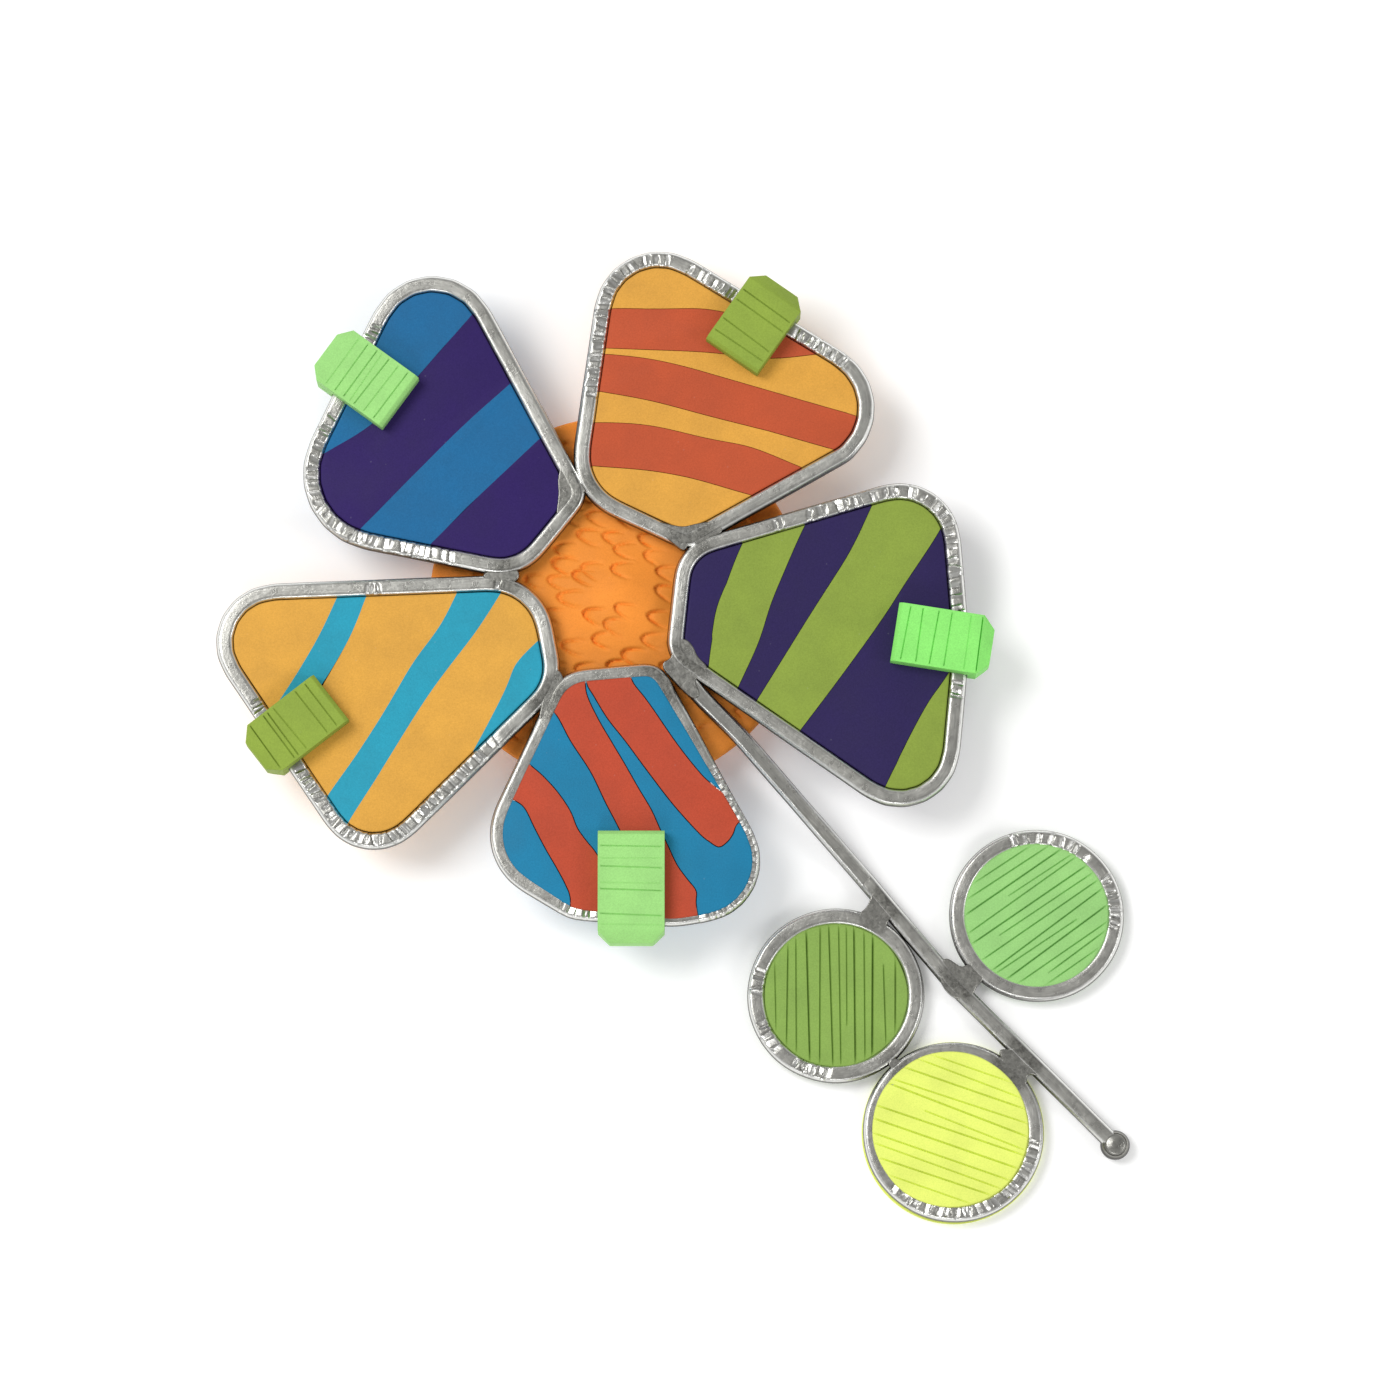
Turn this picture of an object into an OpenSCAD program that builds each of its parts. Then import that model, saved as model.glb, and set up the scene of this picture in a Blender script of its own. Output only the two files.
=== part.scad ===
// Flower brooch worn as a hat pin: five petals and three leaves of patterned clay, each set in
// a frame of filed steel wire, welded to each other and to a wire stem. The petals lie on a domed
// clay centre, which carries a bar pin with a hinged needle and a turning safety catch.
//
// The part lies on its back. X runs across the flower, Y up it, and Z out of its face. The
// origin is on the surface it lies on, under the middle of its outline.

/* [Wire] */
// Thickness of the steel wire of every frame and of the stem
wire_d = 1.8; // [1.6:0.05:1.9]
// How much the file took off the top of the wire
filed_off = 0.1; // [0.05:0.05:0.2]
// Width of the filed flat along the top of the wire
flat_w = 1.1; // [0.8:0.1:1.3]

/* [Clay] */
// Thickness of the patterned clay sheet inside each frame
inlay_t = 1.6; // [1.2:0.1:1.8]
// Gap between the patterned clay and the wire around it
inlay_gap = 0.25; // [0.15:0.05:0.35]
// Thickness of the plain clay sheet that backs each frame
back_t = 0.5; // [0.4:0.1:0.8]
// How far each backing reaches outwards from the middle of the wire
back_reach = 0.5; // [0.3:0.1:0.7]
// Height of a folded tab above the patterned clay
tab_h = 2.1; // [1.6:0.1:2.6]
// Gap between a tab and the wire that it folds over
tab_gap = 0.02; // [0.01:0.01:0.05]
// How far the outer corners of a folded tab are cut back
tab_cut = 1.2; // [0.8:0.1:1.6]

/* [Flower centre] */
// Diameter of the domed clay centre
centre_d = 38; // [37.5:0.5:40]
// Thickness of the centre at its edge
centre_edge_h = 1.2; // [0.9:0.1:1.4]
// Thickness of the centre where the petals lie on it
centre_h = 2.4; // [2.2:0.1:3]
// Height of the dome that rises between the petals
dome_rise = 1.3; // [0.8:0.1:1.8]

/* [Bar pin] */
// Length of the bar
bar_l = 32; // [31:0.5:33]
// Width of the bar
bar_w = 5; // [4:0.5:5]
// Thickness of the bar
bar_t = 0.6; // [0.5:0.1:0.8]
// How far the bar lies above the middle of the flower
bar_y = 6; // [5:0.5:6]
// Distance from the bar's back to the needle's axis
needle_drop = 1.8; // [1.8:0.05:2]
// Thickness of the needle
needle_d = 0.8; // [0.7:0.05:0.9]
// Angle that the safety catch turns through
catch_turn = 90; // [80:5:90]

/* [Hidden] */
$fn = 64;
arc_steps = 6;
curve_steps = 4;

// heights, from the surface that the part lies on
bar_z = 2 * needle_drop;
petal_z = bar_z + centre_h;
wire_h = wire_d - filed_off;
leaf_z = 0;
wire_r = wire_d / 2;

// A bent wire's section in three layers: from and to, as parts of its height, and half its width
WIRE_LAYERS = [[0, 0.2, 0.32 * wire_d], [0.2, 0.8, wire_r], [0.8, 1, flat_w / 2]];

// Each petal's frame is a rounded outline, anticlockwise: [x, y, corner radius] at the middle of
// the wire, measured from the middle of the flower.
PETALS = [
  [[-19, 39, 5.7], [-34.1, 7.5, 7], [-9.9, 2.6, 4.8], [-3.7, 10.3, 1.6]],
  [[-0.2, 38.3, 5.7], [-4.1, 10.9, 5.9], [7, 5.6, 1.5], [23, 14.6, 2.2], [29, 20.3, 6]],
  [[5.8, -5.8, 2.5], [32.8, -24.7, 5.2], [34.7, -4.9, 4], [33.3, 12.4, 5.3], [6.9, 4.6, 4]],
  [[-25.1, -27.6, 4.9], [-6.2, -8.8, 4.7], [-8.2, 1.5, 5.5], [-43.8, 0.1, 5.1]],
  [[-13.5, -26.4, 5.8], [-4.4, -31.9, 4], [5.9, -32.6, 7], [16.5, -30.8, 5.3], [3.9, -7.6, 1.5],
   [-5.2, -8.4, 3.4]]
];

// Each strip of the second colour is two edges, drawn through a few points.
STRIPS = [
  [ // petal 1
    [[[-32, 13], [-25.1, 17.1], [-19.7, 23], [-13, 31]],
     [[-28, 5], [-20.8, 12.1], [-16, 17], [-8.5, 24]]],
    [[[-21, 3.5], [-14.9, 9.3], [-10.9, 13.2], [-5, 19]],
     [[-15, 0], [-4, 8], [0, 14]]]
  ],
  [ // petal 2
    [[[-4, 29.3], [5, 29.4], [10.1, 29], [20, 26.3]],
     [[-4, 25.4], [9.1, 25], [16, 24.1], [24, 25]]],
    [[[-4, 24.8], [3.4, 24.3], [13.1, 21.7], [27, 17.5]],
     [[-4, 21.3], [3.4, 20], [10.4, 18.1], [24.5, 14.6]]],
    [[[-4.5, 17.6], [2.4, 17.6], [9.1, 16.1], [14.4, 15], [22, 12]],
     [[-4.5, 13.5], [2.4, 13], [9.1, 11.7], [18, 9.4]]]
  ],
  [ // petal 3
    [[[14.5, 8.2], [12.8, 5.1], [11.2, 1.5], [10, -2], [9.3, -8.5]],
     [[20, 8.7], [17.1, 2.9], [15.5, -0.9], [14.2, -5], [11.5, -11]]],
    [[[27, 11.5], [24.1, 5.4], [19, -2.6], [13, -12.5]],
     [[34, 9.5], [30.2, 3.2], [27, -2], [21.7, -9.4], [17, -15.5]]],
    [[[34.5, -5.5], [32.5, -8.7], [30.5, -11.9], [26, -21.5]],
     [[38, -7], [38, -22]]]
  ],
  [ // petal 4
    [[[-27, 2], [-28.1, -0.3], [-30.1, -4.3], [-35.5, -13.5]],
     [[-24, 2], [-25.2, -0.3], [-26.9, -4.3], [-31.5, -12.5]]],
    [[[-15.4, 1.5], [-17.5, -2.7], [-20.5, -6.7], [-24, -12.8], [-31, -23.5]],
     [[-10.5, 2.5], [-13, -2.1], [-18.6, -9.5], [-24, -18.3], [-29, -26.5]]],
    [[[-6, -2.5], [-10, -6.4], [-11.4, -9.5], [-15.5, -17]],
     [[-3, -5], [-12, -20]]]
  ],
  [ // petal 5
    [[[-12, -18], [-9, -22], [-7.1, -25.2], [-5.5, -28.5], [-4, -33]],
     [[-10, -15.5], [-6.1, -20.3], [-3.1, -25.2], [0, -30], [1.5, -34.5]]],
    [[[-8, -8.5], [-4.5, -14.8], [-0.7, -22], [2.5, -28], [5, -34.5]],
     [[-4, -6.5], [-1.5, -12.4], [2.5, -20.3], [6.8, -28.8], [8.7, -31], [8.2, -34.5]]],
    [[[-3.2, -6.5], [-0.7, -12.7], [4.1, -19.5], [8.4, -24.1], [10, -25.3], [11.4, -24.7]],
     [[0.5, -6.5], [4.1, -12.1], [8.7, -18.1], [11, -20.8], [11.6, -22.5]]]
  ]
];

// Each tab folds over its petal's wire: [x, y] on the middle of the wire, the direction that it
// points outwards, its length inwards and outwards from there, and its width.
TABS = [
  [-26.7, 23, 144, 6, 3.4, 6.3],
  [14.9, 29, 55, 5.8, 3.1, 6.3],
  [34.6, -4.9, -9, 6.7, 3.2, 6],
  [-34, -14.7, 218, 6.8, 2.8, 5.8],
  [1.5, -32.4, 270, 8.4, 2.9, 6.7]
];

// Each leaf: [x, y] of its middle, the radius to the middle of its wire
LEAVES = [[22.1, -39.8, 8], [42.4, -31.7, 7.9], [33.9, -53.6, 8.2]];

// The stem drops from the petals to the leaves, then runs level to the ball at its end.
stem_top = [7.3, -7, petal_z + back_t];
stem_bend = [25.3, -28.3, leaf_z + back_t];
stem_knot = [34.2, -38.9, leaf_z + back_t];
stem_end = [50.2, -54.9, leaf_z + back_t];
ball_d = 3;
knot_d = 3.2;

// the bar pin, along X
hinge_x = -(bar_l / 2 - needle_drop - 0.2);
catch_l = 3.5;
catch_x = bar_l / 2 - 4.5;
ear_t = 0.5;
ear_gap = 1.3;
eye_w = 1.1;
eye_d = 2.4;
rivet_d = 1;
rivet_head_d = 1.9;
rivet_head_t = 0.25;
run_gap = 0.05;
neck_l = 2.3;
taper_x = catch_x - 0.6;
point_x = bar_l / 2 + 0.5;
hole_d = 2;
hole_x = 5.5;
housing_d = 2 * needle_drop;
housing_wall = 0.5;
rotor_d = housing_d - 2 * housing_wall - 2 * run_gap;
rotor_bore_d = 1.2;
slot_w = 1.2;
lever_w = 0.5;
lever_l = 0.8;
lever_r = 2.1;
lever_angle = 140;

// the middle of the outline, from the middle of the flower
outline_middle = [5.64, -13.68];

petal_colours = [["#1F6FA6", "#3B2365"], ["#E2A54B", "#BF4A35"], ["#33265E", "#8FA848"],
  ["#DCA44A", "#2F9BB8"], ["#2383B0", "#C4503C"]];
tab_colours = ["#98DD7E", "#82AE4B", "#86E874", "#8DB045", "#9BE07F"];
leaf_colours = ["#86A94A", "#93DA80", "#DDFD68"];
steel = "#9C9D94";
nickel = "#B9BBBD";
orange = "#F58A33";

PETAL_NODES = ["rim", "back", "inlay", "strips", "tab"];
LEAF_NODES = ["ring", "back", "disc"];

// ---- outlines ----

function unit(v) = v / norm(v);

// The outward direction from the side a to b of an anticlockwise outline
function outward(a, b) = let (u = unit(b - a)) [u.y, -u.x];

// The rounded corner at b, drawn d outside the given outline
function corner(a, b, c, r, d) =
  let (from = outward(a, b), to = outward(b, c))
  let (turn = acos(from * to), start = atan2(from.y, from.x))
  let (middle = b - unit(from + to) * r / cos(turn / 2))
  [for (k = [0 : arc_steps])
    let (w = start + turn * k / arc_steps)
    middle + (r + d) * [cos(w), sin(w)]];

function flat_point(p) = [p.x, p.y];

// A petal's outline, d outside the middle of its wire
function rounded(corners, d) =
  let (n = len(corners))
  [for (i = [0 : n - 1])
    let (a = corners[(i + n - 1) % n], b = corners[i], c = corners[(i + 1) % n])
    each corner(flat_point(a), flat_point(b), flat_point(c), b[2], d)];

// One point of a smooth curve between b and c
function between(a, b, c, d, t) =
  0.5 * (2 * b + (c - a) * t + (2 * a - 5 * b + 4 * c - d) * t * t
    + (3 * b - a - 3 * c + d) * t * t * t);

// A smooth curve through all the points
function smooth(p) =
  let (last = len(p) - 1)
  [for (i = [0 : last - 1], k = [0 : curve_steps - 1])
    between(p[max(i - 1, 0)], p[i], p[i + 1], p[min(i + 2, last)], k / curve_steps),
    p[last]];

function backwards(p) = [for (i = [len(p) - 1 : -1 : 0]) p[i]];

module petal_shape(i, d) {
  polygon(rounded(PETALS[i], d));
}

module strip_shapes(i) {
  for (strip = STRIPS[i])
    polygon(concat(smooth(strip[0]), backwards(smooth(strip[1]))));
}

// The wire's section: round below, filed flat on top. X is across the wire and Y is up.
module wire_section() {
  low = 0.3 * wire_h;
  high = 0.7 * wire_h;
  polygon([[-0.3 * wire_d, 0], [0.3 * wire_d, 0], [wire_r, low], [wire_r, high],
    [flat_w / 2, wire_h], [-flat_w / 2, wire_h], [-wire_r, high], [-wire_r, low]]);
}

// ---- steel frames ----

// Where two frames touch, the later one is filed to fit against the one before it.
module petal_rim(i) {
  color(steel)
  for (layer = WIRE_LAYERS)
    translate([0, 0, petal_z + back_t + layer[0] * wire_h])
    linear_extrude((layer[1] - layer[0]) * wire_h)
    difference() {
      petal_shape(i, layer[2]);
      petal_shape(i, -layer[2]);
      if (i > 0)
        petal_shape(i - 1, wire_r);
    }
}

// The space inside the outer edge of a petal's wire
module petal_block(i) {
  translate([0, 0, petal_z])
  linear_extrude(2 * wire_d)
  petal_shape(i, wire_r);
}

module leaf_ring(i) {
  color(steel)
  translate([LEAVES[i].x, LEAVES[i].y, leaf_z + back_t])
  rotate_extrude()
  translate([LEAVES[i][2], 0])
  wire_section();
}

// A straight wire with its filed flat upwards, from the foot of its section at a to b
module straight_wire(a, b) {
  run = b - a;
  flat_run = norm(flat_point(run));
  translate(a)
  rotate([0, 0, atan2(run.y, run.x)])
  rotate([0, -atan2(run.z, flat_run), 0])
  rotate([90, 0, 90])
  linear_extrude(norm(run))
  wire_section();
}

// The top end is filed to fit between the frames of petals 3 and 5.
module stem_upper() {
  color(steel)
  difference() {
    straight_wire(stem_top, stem_bend);
    petal_block(2);
    petal_block(4);
  }
}

// The lower wire starts beside the end of the upper one and bends at the knot.
module stem_lower() {
  a = flat_point(stem_bend);
  b = flat_point(stem_knot);
  c = flat_point(stem_end);
  from = outward(a, b);
  to = outward(b, c);
  corner = unit(from + to) / sqrt((1 + from * to) / 2);
  color(steel)
  difference() {
    for (layer = WIRE_LAYERS)
      let (w = layer[2])
      translate([0, 0, leaf_z + back_t + layer[0] * wire_h])
      linear_extrude((layer[1] - layer[0]) * wire_h)
      polygon([a + w * from, b + w * corner, c + w * to, c - w * to, b - w * corner, a - w * from]);
    stem_ball();
  }
}

module stem_ball() {
  color(steel)
  intersection() {
    translate(stem_end + [0, 0, wire_h / 2])
    sphere(d = ball_d);
    translate(stem_end - [ball_d, ball_d, back_t])
    cube([2 * ball_d, 2 * ball_d, back_t + wire_h + 0.2]);
  }
}

// A flat bead of weld metal, as high as the wires that it joins
module bead(x, y, d, z) {
  translate([x, y, z + 0.15 * wire_h])
  cylinder(d = d, h = 0.75 * wire_h);
}

module petal_welds() {
  beads = [[-3.6, 11.2, 4.6], [7, 5.4, 4.6], [6.8, -6.4, 5], [-11, 1.9, 3.6], [-7, -10.1, 4],
    [4.9, -8.6, 3.6]];
  color(steel)
  difference() {
    for (b = beads)
      bead(b[0], b[1], b[2], petal_z + back_t);
    for (i = [0 : 4])
      petal_block(i);
    stem_upper();
  }
}

module stem_welds() {
  beads = [[25, -30.4, 3.6], [34.4, -38.8, knot_d], [40.4, -46.6, 4.2], [28.3, -46.9, 2.4]];
  color(steel)
  difference() {
    for (b = beads)
      bead(b[0], b[1], b[2], leaf_z + back_t);
    for (leaf = LEAVES)
      translate([leaf.x, leaf.y, leaf_z])
      cylinder(r = leaf[2] + wire_r, h = 2 * wire_d);
    stem_upper();
    stem_lower();
  }
}

// ---- clay ----

module petal_back(i) {
  color(petal_colours[i][0])
  translate([0, 0, petal_z])
  linear_extrude(back_t)
  petal_shape(i, back_reach);
}

module petal_inlay(i) {
  color(petal_colours[i][0])
  translate([0, 0, petal_z + back_t])
  linear_extrude(inlay_t)
  difference() {
    petal_shape(i, -wire_r - inlay_gap);
    strip_shapes(i);
  }
}

module petal_strips(i) {
  color(petal_colours[i][1])
  translate([0, 0, petal_z + back_t])
  linear_extrude(inlay_t)
  intersection() {
    petal_shape(i, -wire_r - inlay_gap);
    strip_shapes(i);
  }
}

// A tab lies on the patterned clay, rises over the wire and folds down outside it.
module petal_tab(i) {
  t = TABS[i];
  foot = back_t + inlay_t;
  top = foot + tab_h;
  slope = 0.8;
  grip = wire_r + tab_gap;
  color(tab_colours[i])
  translate([0, 0, petal_z])
  difference() {
    translate([t[0], t[1], 0])
    rotate([0, 0, t[2]])
    difference() {
      rotate([90, 0, 0])
      translate([0, 0, -t[5] / 2])
      linear_extrude(t[5])
      polygon([[-t[3], foot], [-t[3], top - slope / 2], [-t[3] + slope / 2, top],
        [t[4] - 1.6 * slope, top], [t[4], top - 1.2 * slope], [t[4], slope / 2],
        [t[4] - slope / 2, 0], [0, 0], [0, foot]]);
      for (side = [-1, 1])
        translate([t[4], side * t[5] / 2, -1])
        linear_extrude(top + 2)
        polygon([[-tab_cut, 0], [0, -tab_cut], [tab_cut, 0], [0, tab_cut]]);
    }
    translate([0, 0, -1])
    linear_extrude(1 + back_t + wire_h + tab_gap)
    difference() {
      petal_shape(i, grip);
      petal_shape(i, -grip);
    }
  }
}

module leaf_back(i) {
  reach = i == 2 ? wire_r + 0.1 : back_reach;
  color(leaf_colours[i])
  translate([LEAVES[i].x, LEAVES[i].y, leaf_z])
  cylinder(r = LEAVES[i][2] + reach, h = back_t);
}

module leaf_disc(i) {
  color(leaf_colours[i])
  translate([LEAVES[i].x, LEAVES[i].y, leaf_z + back_t])
  cylinder(r = LEAVES[i][2] - wire_r - tab_gap, h = inlay_t);
}

// Flat where the petals lie on it, domed between them. The bar is let into its back, and the
// stem into its edge.
module flower_centre() {
  r = centre_d / 2;
  dome_r = 5.2;
  shelf_r = 11;
  color(orange)
  translate([0, 0, bar_z])
  difference() {
    rotate_extrude()
    polygon([[0, 0], [r - 0.5, 0], [r, 0.5], [r, centre_edge_h - 0.4],
      [r - 0.6, centre_edge_h], [(r + shelf_r) / 2, (2 * centre_h + centre_edge_h) / 3],
      [shelf_r, centre_h], for (k = [0 : 5]) let (w = 90 * k / 5)
        [dome_r * cos(w), centre_h + dome_rise * sin(w)]]);
    difference() {
      translate([-bar_l / 2, bar_y - bar_w / 2, -bar_t])
      cube([bar_l, bar_w, 2 * bar_t]);
      for (side = [-1, 1])
        translate([side * hole_x, bar_y, 0])
        cylinder(d = hole_d - 0.2, h = bar_t);
    }
    translate([0, 0, -bar_z])
    stem_upper();
  }
}

// ---- bar pin ----

// Runs along the needle's axis, with Z towards the catch
module along_needle(x) {
  translate([x, bar_y, needle_drop])
  rotate([0, 90, 0])
  children();
}

// Runs along the hinge's axis, centred on the bar
module along_hinge() {
  translate([hinge_x, bar_y, needle_drop])
  rotate([90, 0, 0])
  children();
}

module pin_bar() {
  color(nickel)
  difference() {
    union() {
      translate([-bar_l / 2, bar_y - bar_w / 2, bar_z])
      cube([bar_l, bar_w, bar_t]);
      for (side = [-1, 1])
        translate([0, side * (ear_gap + ear_t) / 2, 0]) {
          along_hinge()
          cylinder(r = needle_drop, h = ear_t, center = true);
          translate([hinge_x - needle_drop, bar_y - ear_t / 2, needle_drop])
          cube([2 * needle_drop, ear_t, bar_z + bar_t / 2 - needle_drop]);
        }
    }
    along_hinge()
    cylinder(d = rivet_d, h = 2 * bar_w, center = true);
    for (side = [-1, 1])
      translate([side * hole_x, bar_y, bar_z - 1])
      cylinder(d = hole_d, h = bar_t + 2);
  }
}

module pin_rivet() {
  across = ear_gap + 2 * ear_t;
  color(nickel)
  along_hinge() {
    cylinder(d = rivet_d, h = across, center = true);
    for (side = [-1, 1])
      translate([0, 0, side * (across + rivet_head_t) / 2])
      cylinder(d = rivet_head_d, h = rivet_head_t, center = true);
  }
}

module pin_needle() {
  color(nickel)
  difference() {
    union() {
      along_hinge()
      cylinder(d = eye_d, h = eye_w, center = true);
      along_needle(hinge_x)
      cylinder(d1 = eye_w, d2 = needle_d, h = neck_l);
      along_needle(hinge_x + neck_l)
      cylinder(d = needle_d, h = taper_x - hinge_x - neck_l);
      along_needle(taper_x)
      cylinder(d1 = needle_d, d2 = 0.12, h = point_x - taper_x);
    }
    along_hinge()
    cylinder(d = rivet_d + 2 * run_gap, h = 2 * bar_w, center = true);
  }
}

// A round-nosed wedge from the axis, for the slot and the lever's window
module wedge(from, to, r, h) {
  rotate([0, 0, from])
  rotate_extrude(angle = to - from)
  square([r, h]);
}

// Turns the drawing so that angle 0 is along Y, 90 along Z, and Z runs along the needle
module across_catch() {
  translate([catch_x, bar_y, needle_drop])
  rotate([90, 0, 90])
  children();
}

// The housing holds the rotor. Its slot opens backwards, where the needle swings in.
module catch_housing() {
  window = 1.1;
  spread = 14;
  foot_w = 2.4;
  color(nickel)
  difference() {
    union() {
      across_catch()
      cylinder(d = housing_d, h = catch_l);
      translate([catch_x, bar_y - foot_w / 2, needle_drop + 1])
      cube([catch_l, foot_w, needle_drop - 1]);
    }
    across_catch() {
      translate([0, 0, -1])
      cylinder(d = rotor_d + 2 * run_gap, h = catch_l + 2);
      translate([-slot_w / 2, -2 * housing_d, -1])
      cube([slot_w, 2 * housing_d, catch_l + 2]);
      translate([0, 0, (catch_l - window) / 2])
      wedge(lever_angle - spread, lever_angle + catch_turn + spread, 2 * housing_d, window);
    }
  }
}

module catch_rotor() {
  color(nickel)
  across_catch()
  difference() {
    union() {
      translate([0, 0, 0.1])
      cylinder(d = rotor_d, h = catch_l - 0.2);
      rotate([0, 0, lever_angle])
      translate([rotor_d / 4, -lever_w / 2, (catch_l - lever_l) / 2])
      cube([lever_r - rotor_d / 4, lever_w, lever_l]);
    }
    translate([0, 0, -1])
    cylinder(d = rotor_bore_d, h = catch_l + 2);
    translate([-slot_w / 2, -2 * housing_d, -1])
    cube([slot_w, 2 * housing_d, catch_l + 2]);
  }
}

module place() {
  translate([-outline_middle.x, -outline_middle.y, 0])
  children();
}

for (i = [0 : 4]) {
  place() petal_rim(i);
  place() petal_back(i);
  place() petal_inlay(i);
  place() petal_strips(i);
  place() petal_tab(i);
}
for (i = [0 : 2]) {
  place() leaf_ring(i);
  place() leaf_back(i);
  place() leaf_disc(i);
}
place() stem_upper();
place() stem_lower();
place() stem_ball();
place() petal_welds();
place() stem_welds();
place() flower_centre();
place() pin_bar();
place() pin_rivet();
place() pin_needle();
place() catch_housing();
place() catch_rotor();
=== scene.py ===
"""The looks of a flower brooch worn as a hat pin: patterned polymer clay in filed steel wire.

Lengths inside the functions are in millimetres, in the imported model's frame, and every piece is
scaled to metres when it is finished. Points on the flower are measured from its middle.
"""

import math
import random

import bmesh
import bpy
import numpy as np
from bpy.props import FloatProperty, FloatVectorProperty, PointerProperty
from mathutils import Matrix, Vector


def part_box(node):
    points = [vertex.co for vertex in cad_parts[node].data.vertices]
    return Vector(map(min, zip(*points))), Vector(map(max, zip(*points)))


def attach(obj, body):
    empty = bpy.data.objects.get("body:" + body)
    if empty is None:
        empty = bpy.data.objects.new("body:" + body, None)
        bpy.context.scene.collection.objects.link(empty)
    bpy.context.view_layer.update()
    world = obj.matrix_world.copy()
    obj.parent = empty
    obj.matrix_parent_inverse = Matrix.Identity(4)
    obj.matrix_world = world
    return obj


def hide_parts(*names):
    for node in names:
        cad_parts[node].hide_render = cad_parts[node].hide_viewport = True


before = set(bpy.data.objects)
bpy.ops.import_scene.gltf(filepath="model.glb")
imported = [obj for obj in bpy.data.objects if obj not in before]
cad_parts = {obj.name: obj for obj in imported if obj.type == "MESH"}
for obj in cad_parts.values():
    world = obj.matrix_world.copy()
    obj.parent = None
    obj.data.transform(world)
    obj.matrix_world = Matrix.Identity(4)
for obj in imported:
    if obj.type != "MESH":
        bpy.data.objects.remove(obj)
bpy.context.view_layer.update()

bl_info = {
    "name": "Flower Brooch",
    "version": (1, 0, 0),
    "blender": (4, 5, 0),
    "location": "View3D > Sidebar > Brooch",
    "description": "Builds a flower brooch of clay petals and leaves in filed wire frames",
    "category": "Object",
}

MM = 0.001


def linear(code):
    """The linear colour of an sRGB hex value."""
    parts = [int(code[i:i + 2], 16) / 255 for i in (1, 3, 5)]
    return tuple(c / 12.92 if c <= 0.04045 else ((c + 0.055) / 1.055) ** 2.4 for c in parts)


def box(node):
    """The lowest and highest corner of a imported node, in millimetres."""
    low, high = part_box(node)
    return np.array(low) / MM, np.array(high) / MM


FLOWER = (box("flower_centre")[0] + box("flower_centre")[1]) / 2


def on_flower(x, y):
    """A point measured from the middle of the flower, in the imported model's frame."""
    return np.array([x + FLOWER[0], y + FLOWER[1]])


# ---- what a user can change ----

CLAYS = {
    "orange": "#FB8E2D", "blue": "#036295", "purple": "#220357", "ochre": "#D89D3C",
    "brick": "#B94D27", "violet": "#1D0B4B", "moss": "#859A38", "mustard": "#D9A03E",
    "teal": "#1B97B2", "sea_blue": "#0378A1", "red": "#B74427", "mint": "#9AD67B",
    "olive": "#8AA23A", "bright_green": "#8AE56E", "leaf_green": "#86A84D",
    "pale_green": "#95CC78", "yellow_green": "#E3FD6F",
}


def colour(name, code, about):
    """A colour that a user can change."""
    return FloatVectorProperty(
        name=name, description=about, subtype="COLOR", size=3, min=0, max=1, default=linear(code))


class BroochWire(bpy.types.PropertyGroup):
    """The steel wire and its file marks."""
    flat: FloatProperty(
        name="Filed flat", description="Width of the filed flat along the top of the wire",
        default=1.1 * MM, min=0.8 * MM, max=1.3 * MM, unit="LENGTH")
    cut_depth: FloatProperty(
        name="Cut depth", description="Depth of the deepest file cuts across the wire",
        default=0.26 * MM, min=0, max=0.4 * MM, unit="LENGTH")
    wander: FloatProperty(
        name="Wander", description="How far the hand filing lets the wire's width and flat vary",
        default=0.035, min=0, max=0.1, subtype="FACTOR")
    filed: colour("Filed steel", "#B3B2AC", "Steel where the file has cut it")
    # The scale colour is painted shade: it darkens the wire's flanks, the lower half of the end
    # ball and the sides of the weld webs
    scale: colour("Mill scale", "#33302D", "Steel that still has its dark skin")
    weld: colour("Weld metal", "#8F8E88", "Mottled steel that the welding heat has coloured")


class BroochClay(bpy.types.PropertyGroup):
    """The clay sheets."""
    __annotations__ = {
        **{name: colour(name.replace("_", " ").capitalize(), code, f"The {name} clay")
           for name, code in CLAYS.items()},
        "edge": FloatProperty(
            name="Edge roll", description="How far a pressed sheet rolls over at its edge",
            default=0.2 * MM, min=0.05 * MM, max=0.3 * MM, unit="LENGTH"),
        "mark_depth": FloatProperty(
            name="Gouge depth", description="Depth of the gouged scales on the flower's centre",
            default=0.85 * MM, min=0, max=1.0 * MM, unit="LENGTH"),
    }


class BroochStage(bpy.types.PropertyGroup):
    """The studio."""
    floor: colour("Floor", "#FAFAF9", "The paper that the brooch lies on")
    glow: FloatProperty(
        name="Floor glow", description="Light that comes through the paper from below",
        default=0.16, min=0)
    key: FloatProperty(
        name="Key light", description="Power of the large soft light", default=4.6, min=0,
        unit="POWER")
    fill: FloatProperty(
        name="Fill light", description="Power of each of the smaller soft lights", default=1.3,
        min=0, unit="POWER")
    room: FloatProperty(
        name="Room light", description="Strength of the light from the white room", default=0.5,
        min=0)


# ---- materials ----

# Steel in the file cuts, painted lighter: partly fresh steel, partly a painted glint on the cut
# facets
CUT_GLINT_STEEL = "#D4D4D1"
# A painted highlight: the light line along the wire's rounded shoulders
HIGHLIGHT_STEEL = "#EAEAE7"


def add_node(tree, kind, inputs=None, **settings):
    """Adds a shader node. Each input is a value, or the output that it is linked to."""
    made = tree.nodes.new(kind)
    for name, value in settings.items():
        setattr(made, name, value)
    for name, value in (inputs or {}).items():
        if isinstance(value, bpy.types.NodeSocket):
            tree.links.new(value, made.inputs[name])
        else:
            made.inputs[name].default_value = value
    return made


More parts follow.
